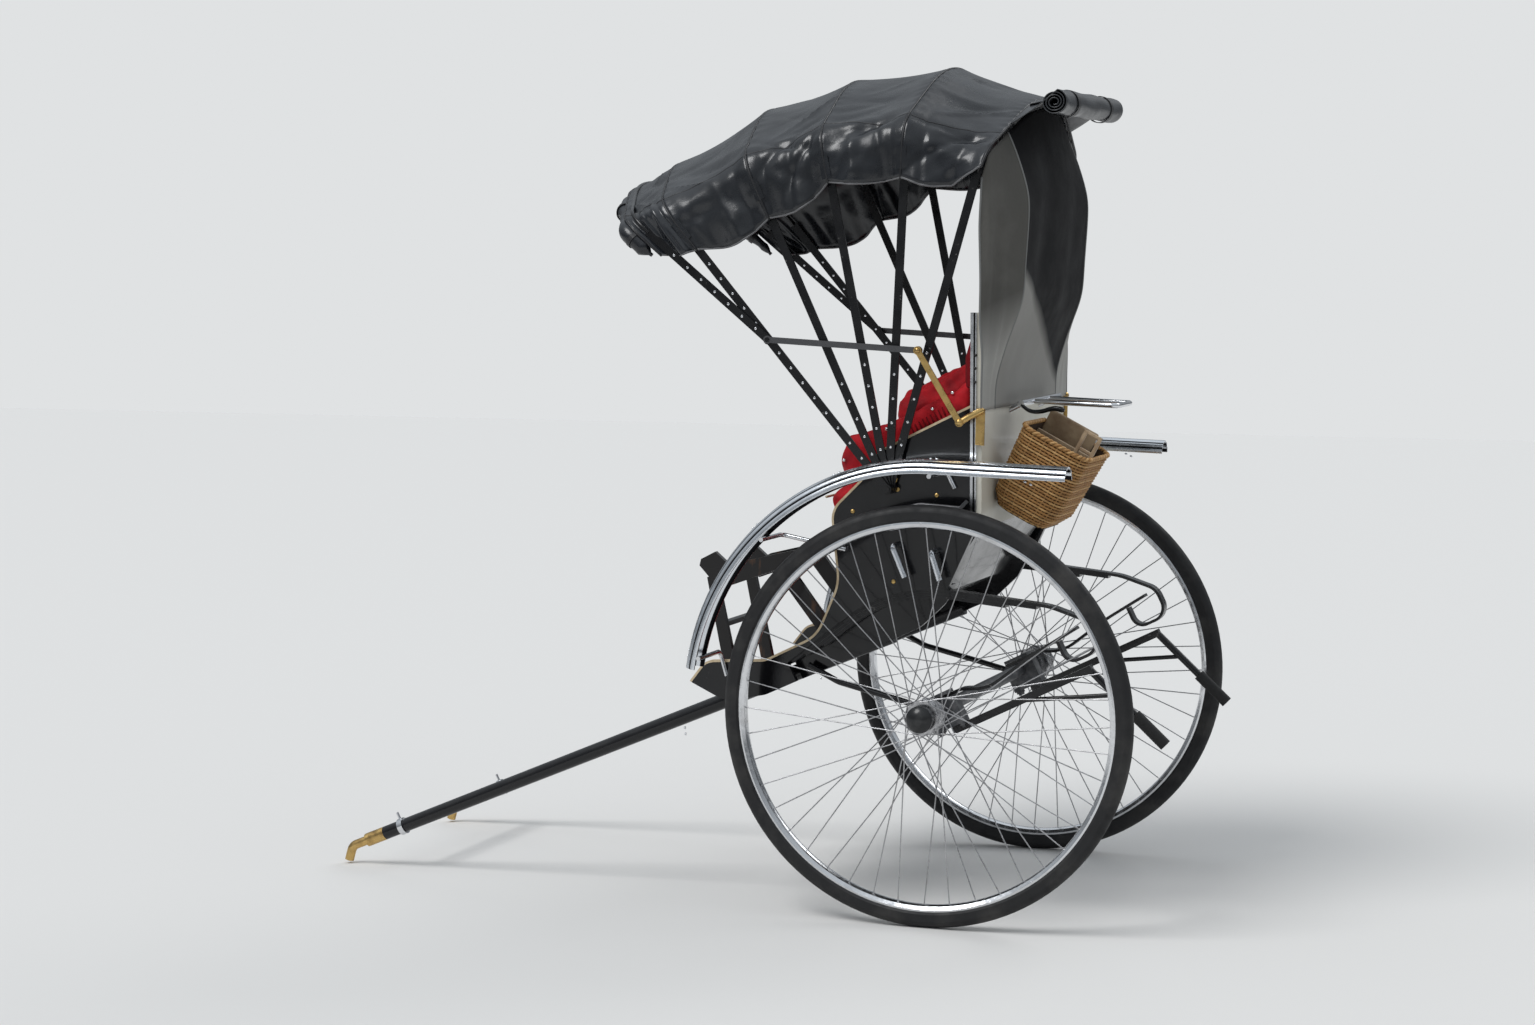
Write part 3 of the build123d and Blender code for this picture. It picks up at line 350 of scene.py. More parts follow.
black_steel.gloss(18, 5, 0.16, 0.4).stain(70, 6, 0.66, 0.74, (0.12, 0.115, 0.11)).grain(210, 3, 0.00012, 0.5)
stay_steel = Finish("stay_steel", (0.1, 0.1, 0.105), 0.35, metallic=0.6).gloss(40, 4, 0.28, 0.5)
cap_black = Finish("cap_black", (0.012, 0.013, 0.014), 0.3, coat=0.2, specular=0.3)
cap_black.grain(140, 4, 0.0003, 0.6).stain(30, 4, 0.55, 0.8, (0.07, 0.07, 0.07), 0.5)

# %% [markdown]
# Two plated finishes carry painted shade: dark lines in their pressed grooves. A fender has two broad and
# two thin grooves pressed along it, at known distances from the middle of the vehicle, and the strips on
# the back of the body have one groove each. A line is painted dark within half its breadth of a plane.

# %% Plates with grooves
aluminium = Finish("rolled_aluminium", (0.76, 0.79, 0.83), 0.22, metallic=1.0).gloss(22, 4, 0.2, 0.32)
sideways = aluminium.calculate("ABSOLUTE", aluminium.distance((0, 0, 0), (0, 1, 0)))
# The dark tint of each groove is painted shade in its recess.
for groove, half in ((0.5170, 0.0017), (0.5285, 0.0034), (0.5715, 0.0034), (0.5830, 0.0017)):
    aluminium.tint(aluminium.band(sideways, groove, half), (0.008, 0.008, 0.009))
strip_plate = Finish("strip_plate", (0.72, 0.73, 0.75), 0.2, metallic=1.0).gloss(34, 5, 0.14, 0.3)
lengthways = strip_plate.distance((middle("rear_strips")[0] - 0.002, 0, 0), (1, 0, 0))
# The strip's dark groove is painted shade in its recess as well.
strip_plate.tint(strip_plate.band(lengthways, 0, 0.002), (0.02, 0.02, 0.02))
print(len(bpy.data.materials), "metal finishes")

# %% [markdown]
# Rubber, lacquer and wood. The tyres are solid rubber with dust in their pores. The tub is lacquered
# black, deep and wet-looking. Ivory lacquer faces the leaning back, and the
# folding step stool shows bare brown edges.

# %% Rubber, lacquer and wood
tyre_rubber = Finish("tyre_rubber", (0.014, 0.014, 0.015), 0.62, specular=0.35)
tyre_rubber.stain(11, 6, 0.5, 0.75, (0.06, 0.057, 0.053), 0.55)
tyre_rubber.grain(420, 5, 0.0003, 0.7).gloss(30, 4, 0.5, 0.75)
foot_rubber = Finish("foot_rubber", (0.02, 0.02, 0.02), 0.7, specular=0.3).grain(300, 5, 0.0003, 0.8)
lacquer = Finish("black_lacquer", (0.005, 0.005, 0.006), 0.16, coat=0.3, specular=0.3)
lacquer.gloss(6, 6, 0.1, 0.3).grain(26, 3, 0.0005, 0.25).stain(48, 7, 0.68, 0.76, (0.05, 0.05, 0.05), 0.7)
shaft_lacquer = Finish("shaft_lacquer", (0.007, 0.007, 0.008), 0.2, coat=0.3, specular=0.3)
shaft_lacquer.gloss(16, 5, 0.14, 0.36).grain(60, 4, 0.0005, 0.4, stretch=(0.15, 1, 1))
ivory = Finish("ivory_lacquer", (0.66, 0.64, 0.56), 0.35, coat=0.2)
ivory.stain(7, 6, 0.45, 0.8, (0.45, 0.42, 0.34), 0.6)
cream_edge = Finish("cream_edging", (0.62, 0.5, 0.33), 0.42).stain(35, 5, 0.45, 0.75, (0.4, 0.29, 0.16))
stool_black = Finish("stool_black", (0.010, 0.009, 0.009), 0.32, coat=0.2, specular=0.3)
stool_black.stain(24, 6, 0.6, 0.72, (0.13, 0.06, 0.025), 0.8, stretch=(1, 1, 0.3))
stool_black.grain(90, 5, 0.0005, 0.5, stretch=(1, 1, 0.15))

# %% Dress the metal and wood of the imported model
WORN_BY = {
    tyre_rubber: "tyre", rim_plate: "rim", spoke_steel: "spokes", cap_black: "hub_cap", hub_steel: "hub",
    grey_forging: "axle_clamps axle", foot_rubber: "prop_feet", cream_edge: "edge_trims", ivory: "back_panel",
    black_steel: "lower_leaves c_springs front_braces props shaft_saddles crossbar hood_bow hood_front_bow "
                 "hood_pivots",
    lacquer: "side_left side_right floor seat_box tail_panel", strip_plate: "rear_strips",
    brass: "shaft_tips stay_lower", chrome: "shaft_bands fender_stays rear_handle", shaft_lacquer: "shaft_",
    aluminium: "fender_ side_posts", stay_steel: "stay_upper side_rods", stool_black: "step_stool",
}
FINISH_OF = {start: finish for finish, starts in WORN_BY.items() for start in starts.split()}


def finish_of(node):
    """The finish whose name is the longest beginning of the node's name."""
    fits = [start for start in FINISH_OF if node.startswith(start)]
    return FINISH_OF[max(fits, key=len)] if fits else None


def dress(piece, finish, body):
    """Gives a new piece its finish and the body that it rides on."""
    piece.data.materials.append(finish.material)
    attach(piece, body)
    return piece


for name, node in nodes.items():
    chosen = finish_of(name)
    if chosen:
        node.data.materials.clear()
        node.data.materials.append(chosen.material)
print("undressed:", sorted(n for n in nodes if not finish_of(n)))

# %% [markdown]
# Cloth. The hood is leathercloth: nearly black, satin, with a fine pebbled grain and paler rubs on its
# ridges. The curtains are thinner cloth that is paler towards the foot, measured down the cloth's own UV
# map. The upholstery is red velvet, whose pile shows as sheen at grazing angles.

# %% Leathercloth and curtains
leathercloth = Finish("hood_leathercloth", (0.009, 0.0105, 0.0135), 0.3, specular=0.55).gloss(9, 5, 0.2, 0.38)
leathercloth.stain(5, 6, 0.48, 0.78, (0.032, 0.036, 0.043), 0.5)
leathercloth.relief(leathercloth.cells(420), 0.00022, 0.5).grain(12, 6, 0.006, 0.45)
hood_piping = Finish("hood_piping", (0.13, 0.13, 0.135), 0.5).gloss(120, 3, 0.4, 0.6).grain(500, 2, 0.0002, 0.6)
hood_welt = Finish("hood_welt", (0.012, 0.012, 0.014), 0.42)
hood_welt.gloss(120, 3, 0.34, 0.55).grain(600, 2, 0.0002, 0.6)
seam_piping = Finish("seam_piping", (0.17, 0.172, 0.168), 0.55).grain(500, 2, 0.0002, 0.6)
roll_cloth = Finish("roll_cloth", (0.034, 0.036, 0.04), 0.36).gloss(20, 5, 0.26, 0.46).grain(30, 5, 0.002, 0.3)
curtain_cloth = Finish("curtain_cloth", (0.085, 0.082, 0.074), 0.6, specular=0.3)
curtain_cloth.stain(4, 6, 0.45, 0.8, (0.14, 0.136, 0.125))
# The width across the back is near-black: painted shade, as it faces away from the light.
shaded_curtain = Finish("shaded_curtain", (0.006, 0.006, 0.007), 0.7, specular=0.15).gloss(9, 5, 0.6, 0.8)
PALE_FEET = ((curtain_cloth, (0, 0.42, 0), (0, 1, 0), 0.0, 0.18, (0.33, 0.325, 0.305)),
             (shaded_curtain, (0.05, 0.730, 0), (0.31, 0.60, 0), -0.02, 0.02, (0.27, 0.265, 0.25)))
# Each cloth is tinted paler towards its foot.
for curtain, point, down, low, high, paler_foot in PALE_FEET:
    curtain.tint(curtain.levels(curtain.distance(point, down, "UV"), low, high), paler_foot)
    curtain.grain(9, 5, 0.006, 0.35).grain(500, 3, 0.00015, 0.6)

# %% Velvet, carpet and wicker
velvet = Finish("red_velvet", (0.50, 0.008, 0.016), 0.72, sheen=0.22, specular=0.25)
velvet.shader.inputs["Sheen Tint"].default_value = (1.0, 0.18, 0.18, 1)
velvet.shader.inputs["Sheen Roughness"].default_value = 0.35
velvet.stain(16, 6, 0.42, 0.75, (0.22, 0.004, 0.010)).grain(700, 3, 0.0004, 0.6).grain(45, 4, 0.0015, 0.3)
dark_red = Finish("dark_red_cloth", (0.17, 0.005, 0.009), 0.8, specular=0.15)
dark_red.stain(18, 6, 0.42, 0.75, (0.10, 0.003, 0.006)).grain(700, 3, 0.0004, 0.6)
carpet = Finish("footwell_carpet", (0.20, 0.005, 0.009), 0.9, specular=0.1)
carpet.stain(30, 5, 0.4, 0.7, (0.09, 0.003, 0.005)).grain(520, 3, 0.0006, 0.8)
wicker = Finish("wicker", (0.36, 0.185, 0.062), 0.5, specular=0.3)
wicker_pale = Finish("wicker_pale", (0.52, 0.31, 0.125), 0.45, specular=0.3)
for straw in (wicker, wicker_pale):
    straw.stain(40, 5, 0.50, 0.75, (0.17, 0.08, 0.028), 0.6).grain(700, 3, 0.0003, 0.6, stretch=(1, 0.2, 1))
# Near-black for the shell behind the weave: painted shade, so the gaps between the strands look dark.
basket_shade = Finish("basket_shade", (0.030, 0.014, 0.006), 0.9).stain(90, 4, 0.4, 0.7, (0.06, 0.03, 0.012))
plain_wood = Finish("plain_wood", (0.40, 0.29, 0.18), 0.55)
plain_wood.stain(30, 6, 0.4, 0.7, (0.26, 0.17, 0.10), stretch=(1, 0.15, 1))
plain_wood.grain(160, 5, 0.0004, 0.5, stretch=(1, 0.1, 1))
print(len(bpy.data.materials), "finishes in all")

# %% [markdown]
# The hood. Six hoops carry one continuous sheet. In its own plane each hoop is the same shape: straight
# legs, a round shoulder, a sloping roof and a round crown. A point of the sheet is found from u, which
# runs along the hoop from hem to hem, and v, which runs from one hoop to the next. Between hoops the
# sheet is a straight blend of the two, drawn in by a sag that is greatest half-way, and tension folds
# run across it from the shoulders. The sheet is cut at the hoops into gores, one between each two
# hoops.

# %% The hoop outline and its planes
PIVOT = np.array([-0.135, 1.128])
STAY_HEAD = PIVOT + 0.506 * np.array([math.sin(math.radians(13.9)), math.cos(math.radians(13.9))])
HOOPS = [("front_bow", STAY_HEAD, 24.0, 0.505), ("bow_1", PIVOT, 13.9, 0.966), ("bow_2", PIVOT, -1.7, 0.944),
         ("bow_3", PIVOT, -15.0, 0.938), ("bow_4", PIVOT, -29.0, 0.947), ("bow_5", PIVOT, -42.1, 0.905)]
HALF, SLOPE, SHOULDER_R, CROWN_R = 0.466, math.radians(25), 0.090, 0.600


def hoop_outline(offset, drop, count):
    """Half a hoop's outline from the hem up to the crown: a leg, an arc, a slope and the crown's arc, all
    moved outwards by offset, as (y, height above the shoulder) at even steps of arc length."""
    y0 = HALF + offset
    corner = np.array([y0, offset / math.cos(SLOPE) - offset * math.tan(SLOPE)])
    crown = np.array([0.0, HALF * math.tan(SLOPE) + offset / math.cos(SLOPE)])
    turn, radius = math.pi / 2 - SLOPE, SHOULDER_R + offset
    centre = corner - [radius, radius * math.tan(turn / 2)]
    a = np.linspace(0, turn, 24)
    shoulder = centre + radius * place(np.cos(a), np.sin(a))
    top_r = CROWN_R + offset
    b = np.linspace(SLOPE, 0, 24)
    top = crown - [0, top_r / math.cos(SLOPE)] + top_r * place(np.sin(b), np.cos(b))
    path = np.concatenate([[[y0, -drop]], shoulder, top])
    return even_steps(path[path[:, 1] >= -drop], count)


def on_hoop(hoop, flat, ahead=0.0):
    """Points (y, height above the shoulder) laid in a hoop's leaning plane, moved ahead along its normal."""
    _, foot, lean, leg = hoop
    a = math.radians(lean)
    up, normal = np.array([math.sin(a), math.cos(a)]), np.array([math.cos(a), -math.sin(a)])
    reach = (leg + flat[..., 1])[..., None]
    ahead = np.broadcast_to(ahead, flat.shape[:-1])[..., None]
    xz = foot + reach * up + ahead * normal
    return place(xz[..., 0], flat[..., 0], xz[..., 1])


def both_sides(half):
    """Mirrors rows that run hem to crown into rows that run hem to hem, without doubling the crown."""
    return np.concatenate([half, half[:-1][::-1] * [-1, 1]])


crown_height = HALF * math.tan(SLOPE) - CROWN_R * (1 / math.cos(SLOPE) - 1)
print("hoop crown", round(crown_height, 3), "m above its shoulder")

# %% [markdown]
# Each gore gets its own folds from a seeded random table: a fold is a soft ridge that crosses the gore
# at a slant, and a few more stand upright in the valance, which is the part that hangs below the
# shoulder. The hem hangs lower between the hoops, where nothing holds it, and swings out a little, which
# makes the valance's scalloped edge.

# %% One gore of the hood
GORE_U, GORE_V = 121, 33
VALANCE = 0.150
HEM_DROPS = [0.132, 0.152, 0.170, 0.125, 0.138, 0.032]
HEM_SWAGS = [0.010, 0.030, 0.024, 0.010, 0.036]
COVER_GAP, CLOTH_T, EDGE_R = 0.0085, 0.0022, 0.0028
PAST_HOOP = [0.022, 0, 0, 0, 0, -0.016]


def sheet_rows(hoop, ahead, drop, offset):
    """One row of the sheet over a hoop, with the hem dropped by its own amount."""
    return on_hoop(hoop, both_sides(hoop_outline(offset, drop, (GORE_U + 1) // 2)), ahead)


def gore_grid(i, lift=0.0):
    """The sheet between hoops i and i+1 as a grid (u, v), lifted outwards by lift."""
    fore, aft = HOOPS[i], HOOPS[i + 1]
    uu, vv = np.meshgrid(np.linspace(-1, 1, GORE_U), np.linspace(0, 1, GORE_V), indexing="ij")
    start, end = (sheet_rows(HOOPS[k], PAST_HOOP[k], HEM_DROPS[k], COVER_GAP + lift) for k in (i, i + 1))
    grid = start[:, None] * (1 - vv[..., None]) + end[:, None] * vv[..., None]
    normal = unit(np.cross(np.gradient(grid, axis=0), np.gradient(grid, axis=1)))
    normal *= np.sign(normal[GORE_U // 2, GORE_V // 2, 2])
    side = np.clip((np.abs(uu) - 0.70) / 0.3, 0, 1)
    width = np.linalg.norm(start[GORE_U // 2] - end[GORE_U // 2])
    slack = (0.018 + 0.036 * np.minimum(1, np.abs(uu) / 0.35)) * (1 - 0.85 * side)
    sag = slack * width * np.sin(np.pi * vv) ** 1.2
    random = np.random.default_rng(40 + i)
    folds = np.zeros_like(uu)
    for k in range(42):
        low, high, most = [(0.02, 0.50, 0.0060), (0.42, 0.80, 0.0125), (0.70, 0.97, 0.0105)][k % 3]
        middle_u, slant = random.uniform(low, high), random.uniform(-0.20, 0.20)
        breadth, height = random.uniform(0.010, 0.028), most * random.uniform(-1.0, 0.75)
        middle_v, reach = random.uniform(0.1, 0.9), random.uniform(0.2, 0.5)
        off = (uu + (-1) ** k * (middle_u + slant * (vv - 0.5) * 2)) / breadth
        folds += height * np.exp(-np.sqrt(off ** 2 + 0.3) + 0.55) * np.exp(-((vv - middle_v) / reach) ** 2)
    for k in range(12):
        line = random.uniform(0.12, 0.88) + random.uniform(-0.7, 0.7) * (np.abs(uu) - 0.8)
        upright = np.exp(-((vv - line) / random.uniform(0.03, 0.07)) ** 2)
        folds += random.uniform(-0.010, 0.007) * upright * np.clip(((-1) ** k * uu - 0.60) / 0.25, 0, 1)
    folds *= np.sin(np.pi * vv) ** 0.6
    from_hoop = np.minimum(vv, 1 - vv)
    puckers = 0.0016 * np.sin(uu * 95 + 3 * np.sin(uu * 9 + i)) * np.exp(-(from_hoop / 0.09) ** 2)
    puckers *= from_hoop > 1e-6
    sway = side ** 1.5 * (0.018 * np.sin(2 * np.pi * vv + 0.9 * i) * np.sin(np.pi * vv) ** 0.5)
    grid = grid + normal * (folds + puckers - sag)[..., None]
    grid[..., 1] += np.sign(uu) * sway
    hem_drop = side ** 2 * np.sin(np.pi * vv) ** 1.3 * HEM_SWAGS[i]
    lean = math.radians((fore[2] + aft[2]) / 2)
    grid[..., 0] -= hem_drop * math.sin(lean)
    grid[..., 2] -= hem_drop * math.cos(lean)
    return grid


def cut_size(grid):
    """The rectangle that the cloth of a grid is cut from: its longest row by its longest column."""
    along = np.linalg.norm(np.diff(grid, axis=0), axis=-1).sum(axis=0).max()
    across = np.linalg.norm(np.diff(grid, axis=1), axis=-1).sum(axis=1).max()
    return float(along), float(across)


def thicken(piece, thickness, offset=-1.0):
    """A wall of even thickness by Blender's Solidify, applied."""
    solid = piece.modifiers.new("wall", "SOLIDIFY")
    solid.thickness = thickness
    solid.offset = offset
    solid.use_even_offset = True
    bpy.context.view_layer.objects.active = piece
    with bpy.context.temp_override(object=piece):
        bpy.ops.object.modifier_apply(modifier="wall")
    return piece


def fold_line(i):
    """The hem points of gore i's two hoops, where they stand closest, parked and with y set to nought."""
    fore, aft = HOOPS[i], HOOPS[i + 1]
    hem = np.array([HALF, -VALANCE])
    return parked(on_hoop(fore, hem)) * [1, 0, 1], parked(on_hoop(aft, hem)) * [1, 0, 1]


SEAM_ROW = int(GORE_U * 0.142)
for i in range(len(HOOPS) - 1):
    grid = gore_grid(i)
    gore = surface("hood_gore_%d" % (i + 1), grid, size=cut_size(grid))
    gore.data.materials.append(leathercloth.material)
    thicken(gore, CLOTH_T)
    hem = join("hood_hem_%d" % (i + 1), [tube("edge", grid[k], EDGE_R, 8) for k in (0, -1)])
    hem.data.materials.append(hood_piping.material)
    lifted = gore_grid(i, 0.0012)
    seam = join("hood_seam_%d" % (i + 1),
                [tube("edge", lifted[k], 0.0021, 8) for k in (SEAM_ROW, -1 - SEAM_ROW)])
    seam.data.materials.append(hood_welt.material)
    start, end = fold_line(i)
    for piece in (gore, hem, seam):
        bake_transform(piece)
    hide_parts("hood_panel_%d" % (i + 1))
    print(gore.name, "cut from", [round(v, 3) for v in cut_size(grid)], "m")

# %% [markdown]
# A welt is sewn over each hoop where two gores meet. It is a thin tube that rides with the hoop, so it
# also covers the cut between the gores in every pose.

# %% Welts over the hoops
for i, hoop in enumerate(HOOPS):
    row = sheet_rows(hoop, PAST_HOOP[i], HEM_DROPS[i] + 0.004, COVER_GAP + 0.001)
    dress(tube("hood_welt_%d" % i, row, 0.0032, 8, side_on=(1, 0, 0)), hood_welt, hoop[0])
    print("welt", i, "is", round(float(np.linalg.norm(np.diff(row, axis=0), axis=1).sum()), 3), "m round")

# %% [markdown]
# Behind the last hoop the cloth goes on as a cape to a roll, which two straps keep up. Seen from the end,
# the cloth's path is a straight run and then a spiral whose radius shrinks steadily with its angle. The
# same path serves at every place across, apart from its start, which follows the roof line.

# %% The rolled rear cloth
REAR = HOOPS[5]
ROLL_AT, ROLL_BACK, ROLL_R, ROLL_HALF = 1.074 - REAR[3], 0.112, 0.0325, 0.310


def roof_height(y):
    """Height of a hoop's roof line above its shoulder, y from the middle."""
    half = hoop_outline(0.0, 0.0, 200)
    return np.interp(np.abs(y), half[::-1, 0], half[::-1, 1])


def rolled_cloth(across=61, turns=3.5):
    """A run from the roof line to the top of the roll, sagging as a half sine, then r = R - k * angle."""
    y = np.linspace(-ROLL_HALF, ROLL_HALF, across)[None, :]
    t = np.linspace(0, 1, 16)[:-1, None]
    ahead = -0.013 + t * (0.013 - ROLL_BACK) + 0 * y
    height = (roof_height(y) + 0.008) * (1 - t) + (ROLL_AT + ROLL_R) * t - 0.007 * np.sin(np.pi * t)
    share = np.linspace(0, 1, 110)[:, None]
    a = np.pi / 2 + 2 * np.pi * turns * share
    r = ROLL_R - 0.026 * share + 0.0012 * np.sin(9 * y / ROLL_HALF + 2 * a)
    ahead = np.concatenate([ahead, -ROLL_BACK + r * np.cos(a)])
    height = np.concatenate([height, ROLL_AT + r * np.sin(a)])
    return on_hoop(REAR, place(y, height), ahead)


roll_grid = rolled_cloth()
roll = surface("rear_roll", roll_grid, size=cut_size(roll_grid))
dress(thicken(roll, CLOTH_T), roll_cloth, "bow_5")
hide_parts("curtain_roll")
print("rear cloth is cut", [round(v, 3) for v in cut_size(roll_grid)], "m")


def ribbon(name, path, across, width, thick, closed=False):
    """A flat strap: the rectangle width x thick carried along a path, its width laid along across."""
    path = np.asarray(path, float)
    across = np.broadcast_to(np.asarray(across, float), path.shape)
    out = unit(np.cross(along(path, closed), across))
    corners = [(-0.5, -0.5), (0.5, -0.5), (0.5, 0.5), (-0.5, 0.5)]
    grid = np.stack([path + a * width * across + b * thick * out for a, b in corners], axis=1)
    faces = grid_faces(len(path), 4, closed, True).tolist()
    if not closed:
        last = (len(path) - 1) * 4
        faces += [[0, 1, 2, 3], [last + 3, last + 2, last + 1, last]]
    piece = face_out(make_mesh(name, grid, faces))
    piece.data.shade_flat()
    return piece


def roll_strap(y):
    """A loop round the roll and forward to the hoop, as a closed line seen from the end."""
    a = np.radians(np.linspace(70, 385, 40))
    ahead = np.concatenate([-ROLL_BACK + (ROLL_R + 0.003) * np.cos(a), [-0.055, -0.02, -0.02, -0.06]])
    top = roof_height(y)
    height = np.concatenate([ROLL_AT + (ROLL_R + 0.003) * np.sin(a),
                             [top + 0.02, top - 0.004, top + 0.016, top + 0.036]])
    return on_hoop(REAR, place(y, height), ahead)


straps = join("roll_straps", [ribbon("strap", roll_strap(y), (0, 1, 0), 0.022, 0.002, closed=True)
                              for y in (-0.18, 0.18)])
dress(straps, hood_welt, "bow_5")

# %% [markdown]
# In front, a rolled side flap is tied along the first hoop. It is a tube whose radius swells and narrows
# between its ties, so it looks stuffed: radius = mean + two sines of different length.

# %% The tied flap on the front hoop
FRONT = HOOPS[0]
FLAP_R = 0.0185
flap_line = both_sides(hoop_outline(-0.004, 0.110, 81))
steps = np.linspace(0, 1, len(flap_line))
swell_wave = 0.0055 * np.sin(2 * np.pi * 5 * steps) + 0.0022 * np.sin(2 * np.pi * 13 * steps + 1.0)
ends = np.clip(np.minimum(steps, 1 - steps) / 0.025, 0.25, 1)
flap_path = on_hoop(FRONT, flap_line, 0.041 + 0.4 * swell_wave)
flap = tube("front_flap", flap_path, (FLAP_R + swell_wave) * ends, 20, side_on=(1, 0, 0))
dress(flap, leathercloth, "front_bow")


def tie(share, gap=0.0012):
    """A band round the flap at a share of its length: centre + (radius + gap) (cos t a + sin t b)."""
    i = int(share * (len(flap_path) - 1))
    onward = unit(flap_path[i + 1] - flap_path[i - 1])
    a = unit(np.cross(onward, (0, 0, 1) if abs(onward[2]) < 0.8 else (0, 1, 0)))
    t = np.linspace(0, 2 * np.pi, 24, endpoint=False)[:, None]
    ring = flap_path[i] + (FLAP_R + swell_wave[i] + gap) * (np.cos(t) * a + np.sin(t) * np.cross(onward, a))
    return ribbon("tie", ring, onward, 0.012, 0.0018, closed=True)


ties = join("front_flap_ties", [tie(share) for share in np.linspace(0.06, 0.94, 6)])
dress(ties, hood_welt, "front_bow")
print("the flap's radius runs from", *(round(FLAP_R + f(swell_wave), 4) for f in (min, max)), "m")

# %% [markdown]
# The rear curtains hang from the last hoop to the back panel: one width across the back, near-black as
# painted shade for a side that faces away from the light, and a grey quarter on each side, sewn together
# at piped seams. Each is a grid between two side lines. The side lines are polylines rounded by averaging
# neighbours, and shallow upright folds that die out at the sewn edges are added square to the cloth. Their
# upper edge follows the hoop and their lower edge the body.

# %% Rear curtains
SEAM_LINE = [(-0.838, 1.845), (-0.783, 1.660), (-0.690, 1.510), (-0.645, 1.430), (-0.552, 1.345),
             (-0.480, 1.268), (-0.449, 1.205)]
FRONT_LINE = [(-0.7195, 1.752), (-0.655, 1.640), (-0.590, 1.500), (-0.546, 1.416), (-0.513, 1.330),
              (-0.480, 1.268), (-0.449, 1.205)]
SEAM_Y, FRONT_Y = 0.310, 0.436


def rounded_line(points, count, passes=10):
    """Even steps along a polyline, rounded by averaging each point with its neighbours, ends held."""
    line = even_steps(np.asarray(points, float), count)
    for _ in range(passes):
        line[1:-1] = (line[:-2] + 2 * line[1:-1] + line[2:]) / 4
    return line


def hung_cloth(left, right, top, folds, seed, depth=0.0075):
    """Cloth between two side lines, (u, v): straight across, with its top row drawn to a given row, and
    folds added along the normal as a sum of three slanting sines that fade to nothing at all four edges."""
    rows = len(left)
    u = np.linspace(0, 1, len(top))[:, None, None]
    v = np.linspace(0, 1, rows)[None, :, None]
    grid = left[None] * (1 - u) + right[None] * u
    grid = grid + (top[:, None] - grid[:, :1]) * (1 - v) ** 5
    normal = unit(np.cross(np.gradient(grid, axis=0), np.gradient(grid, axis=1)))
    random = np.random.default_rng(seed)
    wave = sum(random.uniform(0.5, 1) * np.sin(2 * np.pi * (folds * k * u + random.uniform(-0.7, 0.7) * v)
                                               + random.uniform(0, 6)) / k for k in (1, 1.7, 2.9))
    fade = (np.sin(np.pi * u) ** 0.5) * np.sin(np.pi * v) ** 0.7
    return grid + normal * wave * fade * depth


def side_line(line, y, count=61):
    """A side line at one y, as points in space."""
    flat = rounded_line(line, count)
    return place(flat[:, 0], y, flat[:, 1])


UNDER_HOOP = -0.011
across = np.linspace(-SEAM_Y, SEAM_Y, 61)
back_top = on_hoop(REAR, place(across, roof_height(across) + UNDER_HOOP), -0.015)
half = hoop_outline(UNDER_HOOP, 0.060, 400)
half = half[half[:, 0] >= SEAM_Y]
quarter_top = rounded_line(place(np.minimum(half[:, 0], FRONT_Y), half[:, 1]), 41, passes=0)
left_quarter = hung_cloth(side_line(FRONT_LINE, FRONT_Y), side_line(SEAM_LINE, SEAM_Y + 0.0005),
                          on_hoop(REAR, quarter_top, -0.015), 1.2, 8)
curtains = {
    "rear_curtain": hung_cloth(*(side_line(SEAM_LINE, y) for y in (-SEAM_Y, SEAM_Y)), back_top, 1.4, 5, 0.005),
    "quarter_left": left_quarter,
    "quarter_right": left_quarter * [1, -1, 1],
}

for name, grid in curtains.items():
    cloth = surface("cloth_" + name, grid, size=cut_size(grid))
    # The rear width takes the near-black cloth, whose black is painted shade.
    cloth.data.materials.append((shaded_curtain if name == "rear_curtain" else curtain_cloth).material)
    thicken(cloth, 0.002, offset=0.0)
    edges = [0, -1] if name == "rear_curtain" else [0]
    piping = join("piping_" + name, [tube("edge", grid[k], EDGE_R, 8) for k in edges])
    piping.data.materials.append(seam_piping.material)
    for piece in (cloth, piping):
        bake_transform(piece)
    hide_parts(name)
    print(name, "is cut", [round(v, 3) for v in cut_size(grid)], "m")

# %% [markdown]
# The upholstery. Each pad starts as a plain block a little smaller than its place and is then blown up as
# real padding is stuffed: Blender's cloth with air pressure inside and no gravity. A cap on how far a
# point may move keeps the pad in its place, flat where it rests and crowned where it is free. A few soft
# creases follow. Beading and studs come after, because the remesh would melt them.

# %% Padded upholstery


def block(name, outline, y0, y1):
    """A closed block: an outline of (x, z) points carried straight from y0 to y1."""
    outline = np.asarray(outline, float)
    n = len(outline)
    rings = np.concatenate([np.insert(outline, 1, y, axis=1) for y in (y0, y1)])
    faces = grid_faces(2, n, False, True).tolist() + [list(range(n)), list(range(2 * n - 1, n - 1, -1))]
    return face_out(make_mesh(name, rings, faces))


def apply_modifier(piece, kind, **settings):
    """Adds a modifier, sets it up and applies it."""
    modifier = piece.modifiers.new("step", kind)
    for key, value in settings.items():
        setattr(modifier, key, value)
    with bpy.context.temp_override(object=piece, active_object=piece):
        bpy.ops.object.modifier_apply(modifier="step")


def corners_of(mesh):
    """The points of a mesh as an array."""
    flat = np.empty(len(mesh.vertices) * 3)
    mesh.vertices.foreach_get("co", flat)
    return flat.reshape(-1, 3)


